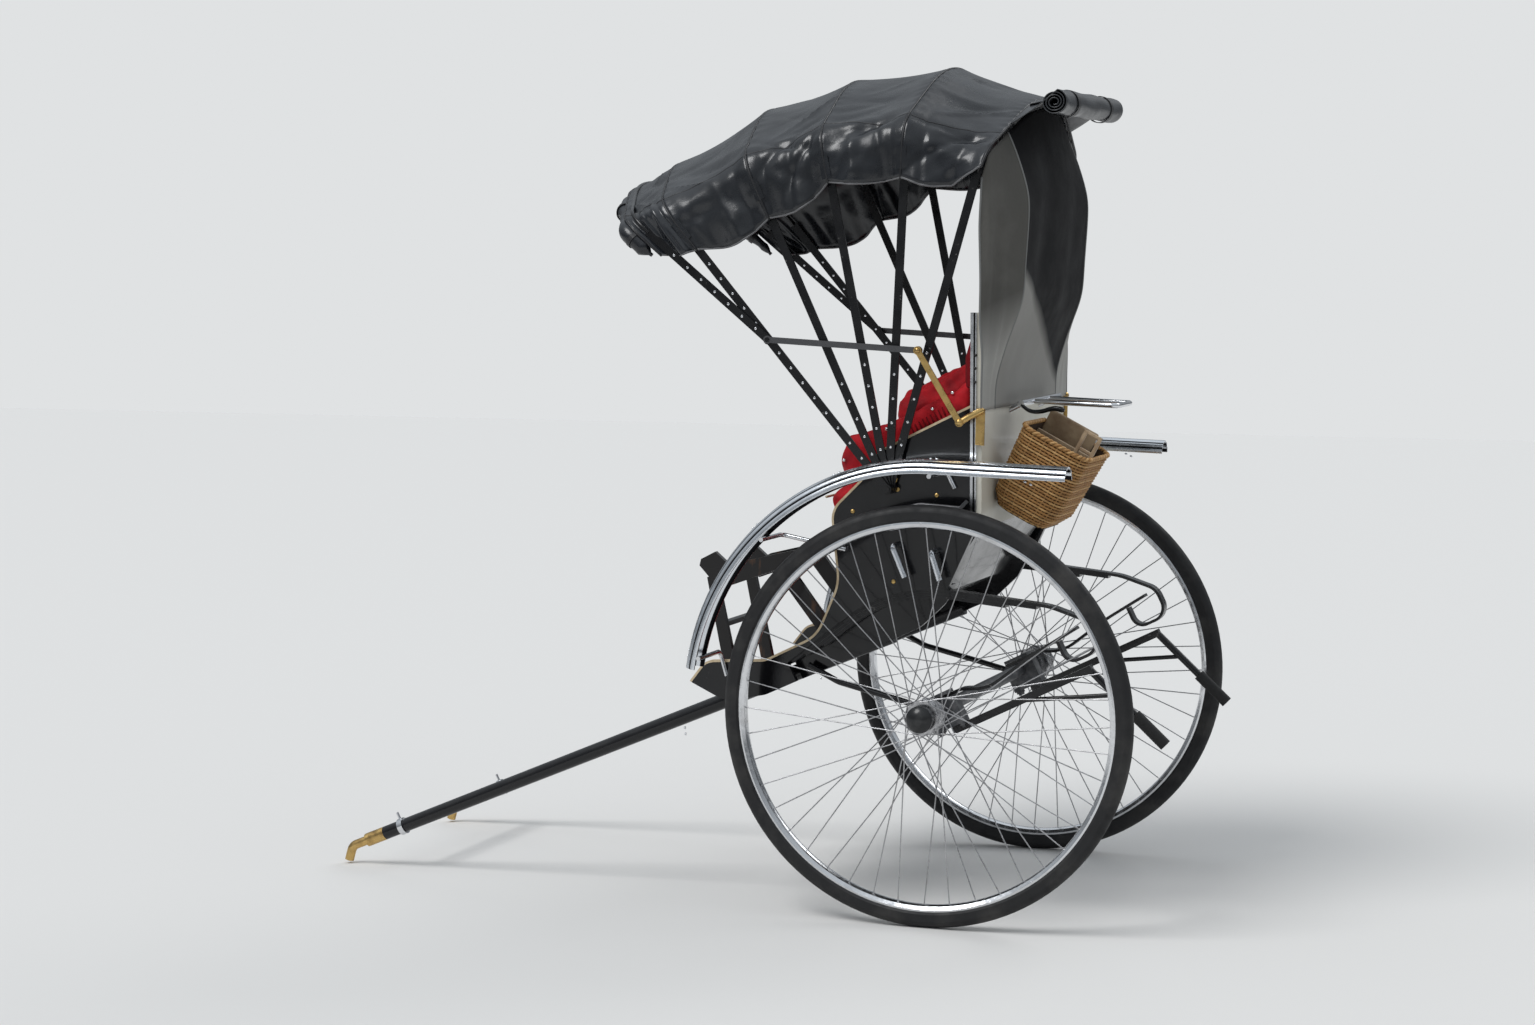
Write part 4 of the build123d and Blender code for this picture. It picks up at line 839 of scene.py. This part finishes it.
def swell(piece, cap, voxel=0.006, pressure=4.0):
    """Remeshes a block to even faces, inflates it as cloth and moves each point by at most cap metres."""
    apply_modifier(piece, "REMESH", mode="VOXEL", voxel_size=voxel)
    cloth = piece.modifiers.new("air", "CLOTH")
    cloth.settings.use_pressure = True
    cloth.settings.uniform_pressure_force = pressure
    cloth.settings.effector_weights.gravity = 0
    for frame_number in range(1, 21):
        bpy.context.scene.frame_set(frame_number)
    start = corners_of(piece.data)
    blown = corners_of(piece.evaluated_get(bpy.context.evaluated_depsgraph_get()).data)
    move = blown - start
    length = np.linalg.norm(move, axis=1, keepdims=True)
    piece.modifiers.remove(cloth)
    bpy.context.scene.frame_set(1)
    piece.data.vertices.foreach_set("co", (start + move * np.minimum(1, cap / (length + 1e-9))).ravel())
    apply_modifier(piece, "SMOOTH", factor=0.5, iterations=4)
    apply_modifier(piece, "SUBSURF", levels=1, render_levels=1)
    piece.data.polygons.foreach_set("use_smooth", np.ones(len(piece.data.polygons), bool))
    return piece


def crumple(piece, depth, seed):
    """Soft creases along the normals: a sum of narrow ridges exp(-2.2 (1 - sin)), each in its own direction."""
    random = np.random.default_rng(seed)
    points = corners_of(piece.data)
    normals = np.empty(len(points) * 3)
    piece.data.vertices.foreach_get("normal", normals)
    push = np.zeros(len(points))
    for _ in range(7):
        direction = unit(random.normal(size=3))
        bend = 0.9 * np.sin(points @ random.normal(size=3) * 22)
        ridge = np.exp(-2.2 * (1 - np.sin(points @ direction * random.uniform(55, 120) + bend)))
        push += ridge * random.choice([-1, 0.6])
    piece.data.vertices.foreach_set("co", (points + normals.reshape(-1, 3) * push[:, None] * depth).ravel())
    return piece


PADS = {
    "seat_cushion": ([(-0.177, 1.113), (0.069, 1.113), (0.069, 1.187), (-0.177, 1.187)],
                     [(-0.323, 0.323)], 0.009),
    "back_cushion": ([(-0.373, 1.113), (-0.195, 1.113), (-0.195, 1.298), (-0.216, 1.341), (-0.481, 1.341)],
                     [(-0.323, 0.323)], 0.009),
    "arm_pads": ([(-0.017, 1.113), (-0.017, 1.246), (-0.063, 1.305), (-0.254, 1.293), (-0.461, 1.293),
                  (-0.373, 1.113)], [(0.340, 0.394), (-0.394, -0.340)], 0.008),
}
for node, (outline, sides, cap) in PADS.items():
    pad = join("padded_" + node, [crumple(swell(block("pad", outline, *side), cap), 0.0026, 3 + k)
                                  for k, side in enumerate(sides)])
    dress(pad, velvet, "carriage")
    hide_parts(node)
    print(pad.name, len(pad.data.polygons), "faces")

# %% [markdown]
# Small bright things are repeated from one shape. A stud is a little turned dome: a profile of radius and
# height carried round its axis. Each stud's own up direction is the outward direction of what it is on.

# %% Studs


def turned(profile, sides=8):
    """A profile of (radius, height) pairs carried round the z axis, as a grid and its faces."""
    profile = np.asarray(profile, float)
    t = np.linspace(0, 2 * np.pi, sides, endpoint=False)[None, :]
    radius, height = profile[:, :1], profile[:, 1:]
    grid = place(radius * np.cos(t), radius * np.sin(t), height)
    return grid, grid_faces(len(profile), sides, False, True)


def axes_along(outward):
    """For each outward direction, three axes whose third is that direction."""
    z = unit(np.asarray(outward, float))
    x = unit(np.cross(np.where(np.abs(z[:, 2:]) < 0.9, [[0.0, 0.0, 1.0]], [[1.0, 0.0, 0.0]]), z))
    return np.stack([x, np.cross(z, x), z], axis=1)


DOME = np.array([(0, -0.3), (1, -0.3), (1, 0.1), (0.8, 0.42), (0.45, 0.62), (0, 0.68)])


def studs(name, places, outward, radius, finish, body, flat=1.0):
    """A dome of one radius at each place, facing outward, all as one piece; flat scales its height."""
    places = np.asarray(places, float)
    outward = np.broadcast_to(np.asarray(outward, float), places.shape)
    grid, faces = turned(DOME * [radius, radius * flat])
    piece = face_out(repeat(name, grid, faces, places, axes_along(outward)))
    return dress(piece, finish, body)


def side_studs(name, spots, y, radius, finish, body="carriage"):
    """Domes at (x, z) spots on both sides of the vehicle, at y from its middle and facing outward."""
    places = [[x, side * y, z] for x, z in spots for side in (1, -1)]
    return studs(name, places, [[0, np.sign(p[1]), 0] for p in places], radius, finish, body)


LEG_Y = {"front_bow": 0.466, "bow_1": 0.460, "bow_2": 0.454, "bow_3": 0.448, "bow_4": 0.442, "bow_5": 0.436}
STUD_RUNS = {"front_bow": (0.045, 0.345, 7), "bow_1": (0.105, 0.765, 14), "bow_2": (0.10, 0.30, 5),
             "bow_3": (0.105, 0.33, 5), "bow_4": (0.11, 0.30, 4), "bow_5": (0.12, 0.37, 5)}
for hoop in HOOPS:
    low, high, count = STUD_RUNS[hoop[0]]
    reach = np.linspace(low, high, count) - hoop[3]
    places, outward = [], []
    for side in (1, -1):
        for face in (1, -1):
            y = side * LEG_Y[hoop[0]] + face * 0.0025
            places.append(on_hoop(hoop, place(y, reach)))
            outward.append(np.tile([0.0, face, 0.0], (count, 1)))
    studs("studs_" + hoop[0], np.concatenate(places), np.concatenate(outward), 0.0036, bright_stud,
          hoop[0], flat=0.18)

# %% [markdown]
# The fender is riveted to its stays in pairs, and the body side carries a brass ring and a few brass
# buttons. Angles are measured round the axle from straight ahead.

# %% Fender rivets, side ring and buttons
angles = [angle + step for angle in (20, 38, 72, 95, 118, 140) for step in (-0.7, 0.7) for side in (1, -1)]
a, side = np.radians(angles), np.tile([1, -1], len(angles) // 2)
radial = place(np.cos(a), 0, np.sin(a))
rivets = 0.6685 * radial + place(0, 0.550 * side, WHEEL_R)
studs("fender_rivets", rivets, radial, 0.0042, bright_stud, "carriage")
side_studs("side_buttons", [(-0.012, 1.118), (-0.150, 1.118), (-0.033, 0.905), (-0.240, 1.060)], 0.4203, 0.0065,
           brass)
RING_X, RING_Z, RING_R = -0.150, 1.150, 0.0125
t = np.linspace(0, 2 * np.pi, 36, endpoint=False)
rings = []
for side in (1, -1):
    ring = place(RING_X + RING_R * np.cos(t), side * (0.4255 + 0.002 * np.sin(t)), RING_Z + RING_R * np.sin(t))
    rings.append(tube("ring", ring, 0.0019, 8, side_on=(0, 1, 0.001), closed=True))
    eye = [[RING_X, side * y, RING_Z + RING_R] for y in (0.419, 0.429)]
    rings.append(tube("eye", eye, 0.004, 10, side_on=(0, 0, 1)))
dress(join("side_rings", rings), brass, "carriage")
print(len(rivets), "fender rivets")

# %% [markdown]
# Trim on the upholstery: silver studs along the arms and the seat's front, a fringe of short tassels on
# the arm, beading along the seat's front edge, and a wedge-shaped pad on the leaning back above the
# cushion.

# %% Trim and lining of the seat
ARM_STUDS = [(-0.043, 1.251), (-0.115, 1.262), (-0.186, 1.275), (-0.256, 1.276), (-0.322, 1.269),
             (-0.390, 1.284)]
side_studs("arm_studs", ARM_STUDS, 0.4005, 0.0048, bright_stud)
studs("seat_studs", place(0.0765, np.linspace(-0.290, 0.290, 9), 1.150), (1, 0, 0), 0.0048,
      bright_stud, "carriage")

tassel, tassel_faces = turned([(0, 0.0115), (0.0019, 0.0115), (0.0013, 0.006), (0.0021, -0.002),
                               (0.0026, -0.0115), (0, -0.0115)], 6)
x = np.linspace(-0.250, -0.372, 11)
places = np.concatenate([place(x, side * 0.4035, 1.2405 + 0.1 * (-0.25 - x)) for side in (1, -1)])
upward = np.tile([0.0, 0, 1.0], (len(places), 1))
fringe = face_out(repeat("arm_fringe", tassel, tassel_faces, places, axes_along(upward)))
dress(fringe, dark_red, "carriage")
bead_line = place(0.0735, np.linspace(0.318, -0.318, 40), 1.1905)
beads = tube("seat_beading", bead_line, 0.0034, 8, side_on=(0, 0, 1))
dress(beads, cream_edge, "carriage")


def rear_line(z):
    """The x of the leaning back's front face at a height."""
    return -0.300 - 0.49 * (z - 0.940)


def back_lining(across=121, up=41):
    """A pad on the leaning back: 38 mm deep, thinning to nothing at its top as a square root, with square
    sides (1 - u^40) and shallow upright channels pressed into it. u and v run from -1 to 1."""
    u = np.sin(np.linspace(-np.pi / 2, np.pi / 2, across))
    u, v = np.meshgrid(u, np.linspace(-1, 1, up), indexing="ij")
    y, z = 0.414 * u, 1.345 + 0.083 * v
    thin = np.clip((1 - v) / 1.1, 0, 1) ** 0.75 * np.clip((1 + v) / 0.06, 0, 1) ** 0.5
    depth = 0.038 * thin * (1 - u ** 40) * (1 - 0.10 * np.cos(18 * np.pi * u) ** 8)
    front = place(rear_line(z) + 0.0012 + depth, y, z + 0.45 * depth)
    return front, place(rear_line(z) + 0.0010, y, z)


lining = face_out(join("back_lining", [surface("side", grid) for grid in back_lining()]))
dress(lining, dark_red, "carriage")
print(len(places), "tassels;", lining.name, len(lining.data.polygons), "faces")

# %% [markdown]
# The footwell is lined with the same red cloth: a carpet on the floor, a skirt that hangs from the front
# edge of the seat to the floor in soft folds, and cheeks on the inner sides.

# %% Lining of the footwell


def seat_skirt(across=121, up=31):
    """Cloth hung from the seat's front edge: depth of fold grows downwards as a sine of the place across."""
    u, v = np.meshgrid(np.linspace(-1, 1, across), np.linspace(0, 1, up), indexing="ij")
    y, z = 0.345 * u, 1.103 - 0.258 * v
    wave = 0.5 + 0.5 * np.sin(26 * u + 2.0 * np.sin(3 * u) + 0.6 * v)
    return place(0.0535 + (0.016 * wave + 0.004) * v ** 0.6, y, z)


skirt_grid = seat_skirt()
skirt = surface("seat_skirt", skirt_grid, size=cut_size(skirt_grid))
dress(thicken(skirt, 0.002, offset=0.0), dark_red, "carriage")
print("seat skirt is cut", [round(v, 3) for v in cut_size(skirt_grid)], "m")


def floor_carpet(along=61, across=41):
    """A mat on the floor, level and then rising to the toe, with a few millimetres of waviness."""
    u, v = np.meshgrid(np.linspace(0, 1, along), np.linspace(-1, 1, across), indexing="ij")
    x, y = 0.078 + 0.495 * u, 0.345 * v
    z = 0.8397 + np.clip(x - 0.333, 0, None) * (0.034 / 0.252)
    return place(x, y, z + 0.0012 * (1 + np.sin(21 * x + 9 * y)) * np.sin(np.pi * u))


carpet_grid = floor_carpet()
mat = surface("floor_carpet", carpet_grid, size=cut_size(carpet_grid))
dress(thicken(mat, 0.003, offset=1.0), carpet, "carriage")
print("carpet is cut", [round(v, 3) for v in cut_size(carpet_grid)], "m")

CHEEK = [(0.052, 1.085, 0.902), (0.070, 1.040, 0.897), (0.090, 0.985, 0.892), (0.110, 0.945, 0.887),
         (0.135, 0.921, 0.881), (0.160, 0.899, 0.876), (0.180, 0.883, 0.871)]
x, top, foot = rounded_line(CHEEK, 25, passes=2).T[:, :, None]
v = np.linspace(0, 1, 13)[None, :]
bulge = 0.0035 * np.sin(np.pi * v) * np.sin(np.linspace(0, np.pi, 25))[:, None]
cheeks = [thicken(surface("cheek", place(x, side * (0.4005 - bulge), top * (1 - v) + foot * v)), 0.002)
          for side in (1, -1)]
dress(join("side_linings", cheeks), dark_red, "carriage")

# %% [markdown]
# The basket is woven as a real one is: upright stakes stand round a rounded rectangle, and each row of
# weaver passes in front of one stake and behind the next, the next row the other way. A row is a ring of
# points whose distance out is plus or minus a millimetre by turns.

# %% Basket
TILT = math.radians(54.0)
BASKET_FOOT = np.array([-0.381, 0.210, 0.9226])
BASKET_AXES = np.array([[math.cos(TILT), 0, math.sin(TILT)], [0, 1, 0], [-math.sin(TILT), 0, math.cos(TILT)]])
BASKET_SIZES = np.array([(0.000, 0.140, 0.220), (0.040, 0.190, 0.250), (0.225, 0.206, 0.280)])
STAKES = 72


def rounded_ring(length, width, radius, count):
    """Even points round a rectangle whose corners are arcs, and the outward directions there."""
    a = np.linspace(0, np.pi / 2, 13)
    line = np.concatenate([place(sx * (length / 2 - radius) + radius * np.cos(a + k * np.pi / 2),
                                 sy * (width / 2 - radius) + radius * np.sin(a + k * np.pi / 2))
                           for k, (sx, sy) in enumerate(((1, 1), (-1, 1), (-1, -1), (1, -1)))])
    ring = even_steps(np.concatenate([line, line[:1]]), count, endpoint=False)
    step = along(ring, closed=True)
    return ring, unit(place(step[:, 1], -step[:, 0]))


def basket_ring(height, inset, count, wobble=0.0):
    """A ring of the basket at a height above its base, drawn in by an inset, in running coordinates."""
    length, width = (np.interp(height, BASKET_SIZES[:, 0], BASKET_SIZES[:, k]) for k in (1, 2))
    ring, out = rounded_ring(length, width, 0.050, count)
    ring = ring + out * np.reshape(np.broadcast_to(wobble - inset, (count,)), (-1, 1))
    local = np.column_stack([ring, np.full(count, height)])
    return BASKET_FOOT + local @ BASKET_AXES


rows = np.arange(0.005, 0.222, 0.0083)
turn = np.where(np.arange(2 * STAKES) % 4 < 2, 1.0, -1.0)
weavers = [tube("weaver", basket_ring(h, 0.0042, 2 * STAKES, 0.0012 * turn * (-1) ** k), 0.0031, 6,
                side_on=BASKET_AXES[2], closed=True) for k, h in enumerate(rows)]
heights = np.linspace(0.002, 0.224, 12)
rings = np.stack([basket_ring(h, 0.0044, STAKES) for h in heights])
stakes = [tube("stake", rings[:, k], 0.0016, 5, side_on=(0, 1, 0.3)) for k in range(STAKES)]
t = np.linspace(0, 2 * np.pi, 4 * STAKES, endpoint=False)
rim = []
for phase in (0, np.pi):
    twist = 34 * t + phase
    level = basket_ring(0.225, 0.0042, 4 * STAKES, 0.0032 * np.cos(twist))
    rim.append(tube("rim", level + 0.0032 * np.sin(twist)[:, None] * BASKET_AXES[2], 0.0036, 6,
                    side_on=BASKET_AXES[2], closed=True))
# Behind the weave and under its bottom lies a thin near-black shell: painted shade that darkens the gaps
# between the strands.
foot = basket_ring(0.0025, 0.006, STAKES)
bottom = foot.mean(axis=0) + (foot - foot.mean(axis=0)) * np.linspace(1, 0.02, 9)[:, None, None]
wall_rings = np.stack([basket_ring(h, 0.0074, STAKES) for h in heights[::-1]])
shade_shell = surface("shade_shell", np.concatenate([wall_rings, bottom]), wrap_v=True)
thicken(shade_shell, 0.0012)
shade_shell.data.materials.append(basket_shade.material)
woven = weavers + stakes + rim
for k, strand in enumerate(woven):
    strand.data.materials.append((wicker if k % 3 else wicker_pale).material)
basket = join("basket_weave", woven + [shade_shell])
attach(basket, "carriage")
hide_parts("basket")
print("basket:", len(rows), "rows of weaver on", STAKES, "stakes")

# %% [markdown]
# A board and a plank stand in the basket, with a small wooden frame beside them. They are drawn in the
# basket's own box, so they lean as it does.

# %% The board and frame in the basket


def in_basket(points):
    """Points of the basket's own box, its base centre at the origin, in running coordinates."""
    return BASKET_FOOT + np.asarray(points, float) @ BASKET_AXES


def slab(name, low, high, bevel=0.0015):
    """A board between two corners of the basket's own box, its edges eased by a bevel."""
    ends = np.array([low, high])
    pick = np.array([[0, 0, 0], [1, 0, 0], [1, 1, 0], [0, 1, 0], [0, 0, 1], [1, 0, 1], [1, 1, 1], [0, 1, 1]])
    points = in_basket(np.stack([ends[pick[:, k], k] for k in range(3)], axis=-1))
    faces = [[3, 2, 1, 0], [4, 5, 6, 7], [0, 1, 5, 4], [1, 2, 6, 5], [2, 3, 7, 6], [3, 0, 4, 7]]
    piece = face_out(make_mesh(name, points, faces, smooth=False))
    apply_modifier(piece, "BEVEL", width=bevel, segments=2)
    return piece


SLABS = [("board", (-0.052, -0.104, 0.050), (0.094, -0.094, 0.262), 0.004),
         ("plank", (-0.080, -0.020, 0.150), (0.085, -0.010, 0.214)),
         ("rail", (-0.097, 0.066, 0.150), (-0.087, 0.076, 0.287)),
         ("rail", (-0.055, 0.066, 0.150), (-0.045, 0.076, 0.287)),
         ("rail", (-0.097, 0.067, 0.279), (-0.045, 0.075, 0.287)),
         ("rail", (-0.097, 0.067, 0.232), (-0.045, 0.075, 0.240))]
dress(join("basket_board", [slab(*row) for row in SLABS]), plain_wood, "carriage")

# %% [markdown]
# The last fittings are small: the leather tabs where a bow enters its pocket in the valance, brass nuts
# and brackets at the side links, studs on the bright strips, a black lever on the rear bar, and the nuts
# under the axle clamps.

# %% Small fittings
for i, hoop in enumerate(HOOPS[1:5], start=1):
    lean = math.radians(hoop[2])
    lines = [on_hoop(hoop, place(side * (HALF + 0.0108), np.linspace(-0.058, -0.116, 6))) for side in (1, -1)]
    tabs = join("valance_tabs_%d" % i,
                [ribbon("tab", line, (math.cos(lean), 0, -math.sin(lean)), 0.026, CLOTH_T) for line in lines])
    dress(tabs, leathercloth, hoop[0])

STAY_Y = 0.4815
side_studs("knuckle_nuts", [(-0.375, 1.415)], STAY_Y, 0.0075, brass, "stay_lower")
side_studs("foot_nuts", [(-0.395, 1.200)], STAY_Y, 0.0095, brass, "stay_lower")

lever_path = rounded_line([(-0.489, 0.196, 1.192), (-0.500, 0.196, 1.165), (-0.530, 0.196, 1.151),
                           (-0.566, 0.196, 1.147), (-0.588, 0.196, 1.128)], 40, passes=25)
lever_r = np.interp(np.linspace(0, 1, 40), [0, 0.6, 0.95, 1], [0.005, 0.006, 0.0075, 0.004])
dress(tube("rear_lever", lever_path, lever_r, 12), black_steel, "carriage")

arms = []
for side in (1, -1):
    bend = rounded_line([(-0.396, side * 0.474, 1.200), (-0.420, side * 0.462, 1.204),
                         (-0.452, side * 0.430, 1.206)], 16, 4)
    arms.append(tube("arm", bend, 0.0085, 12, side_on=(0, 0, 1)))
    plate = np.linspace((-0.448, side * 0.4262, 1.212), (-0.404, side * 0.4262, 1.128), 8)
    arms.append(ribbon("plate", plate, (0.866, 0, 0.5), 0.024, 0.003))
dress(join("stay_brackets", arms), brass, "carriage")
side_studs("strip_studs", [(-0.4635, 1.280), (-0.4795, 1.312), (-0.4950, 1.342)], 0.4243, 0.0042, black_steel)

HEX = np.array([(0, 0), (1.0, 0), (1.0, 0.8), (0.55, 0.8), (0.55, 1.5), (0, 1.5)]) * 0.0085
nut, nut_faces = turned(HEX, 6)
places = np.array([[x, side * (0.390 + off), 0.4949] for x in (0.030, -0.038) for off in (-0.014, 0.014)
                   for side in (1, -1)])
downward = np.tile([0.0, 0, -1.0], (len(places), 1))
nuts = face_out(repeat("clamp_nuts", nut, nut_faces, places, axes_along(downward)))
nuts.data.polygons.foreach_set("use_smooth", np.zeros(len(nuts.data.polygons), bool))
dress(nuts, grey_forging, "carriage")
print(len(places), "nuts under the axle clamps")

# %% [markdown]
# The stage is a pale floor under a sky that brightens with height, lit by two broad suns. The camera sees
# a plain pale backdrop in place of the sky, which lights nothing. It stands where the photograph's did, at
# head height to the left of the vehicle, with a long lens.

# %% Floor and backdrop
edge = np.array([-20.0, 20.0])
floor = surface("studio_floor", place(edge[:, None], edge[None, :], 0.0), tilt=False)
pale = Finish("studio_pale", (0.679, 0.670, 0.655), 0.9, specular=0.1)
floor.data.materials.append(pale.material)

world = bpy.data.worlds.new("studio")
bpy.context.scene.world = world
world.use_nodes = True
parts = world.node_tree.nodes
sky, result = parts["Background"], parts["World Output"]
view, height, rise, backdrop, path, mix = (parts.new("ShaderNode" + kind) for kind in (
    "TexCoord", "SeparateXYZ", "MapRange", "Background", "LightPath", "MixShader"))
sky.inputs["Color"].default_value = (0.88, 0.94, 1.0, 1)
backdrop.inputs["Color"].default_value = (0.81, 0.826, 0.835, 1)
backdrop.inputs["Strength"].default_value = 0.92
for socket, value in (("From Min", 0.0), ("From Max", 0.9), ("To Min", 0.16), ("To Max", 0.80)):
    rise.inputs[socket].default_value = value
for start, end in ((view.outputs["Generated"], height.inputs["Vector"]),
                   (height.outputs["Z"], rise.inputs["Value"]),
                   (rise.outputs["Result"], sky.inputs["Strength"]),
                   (path.outputs["Is Camera Ray"], mix.inputs["Fac"]),
                   (sky.outputs["Background"], mix.inputs[1]), (backdrop.outputs["Background"], mix.inputs[2]),
                   (mix.outputs["Shader"], result.inputs["Surface"])):
    world.node_tree.links.new(start, end)

# %% Light and camera


def far_light(name, direction, spread, strength):
    """Light from one direction all over, softened by its spread in degrees, so the floor is even."""
    lamp = bpy.data.objects.new(name, bpy.data.lights.new(name, "SUN"))
    bpy.context.scene.collection.objects.link(lamp)
    lamp.data.energy = strength
    lamp.data.angle = math.radians(spread)
    lamp.rotation_euler = Vector(direction).to_track_quat("-Z", "Y").to_euler()


far_light("key", (-0.45, -0.55, -1.0), 28, 1.7)
far_light("back", (0.5, 0.9, -0.8), 30, 0.5)

PHOTO_WIDTH, FOCAL = 1535, 3022
camera = bpy.data.objects.new("camera", bpy.data.cameras.new("camera"))
bpy.context.scene.collection.objects.link(camera)
camera.data.sensor_width = 36
camera.data.lens = 36 * FOCAL / PHOTO_WIDTH
camera.location = (AXLE[0] - 2.271, 7.936, 1.763)
yaw, pitch = math.radians(20.10), math.radians(-5.06)
aim = Vector((math.sin(yaw) * math.cos(pitch), -math.cos(yaw) * math.cos(pitch), math.sin(pitch)))
camera.rotation_euler = aim.to_track_quat("-Z", "Y").to_euler()
bpy.context.scene.camera = camera
bpy.context.scene.view_settings.view_transform = "Standard"
print("lens", round(camera.data.lens, 1), "mm, camera at", [round(v, 2) for v in camera.location])
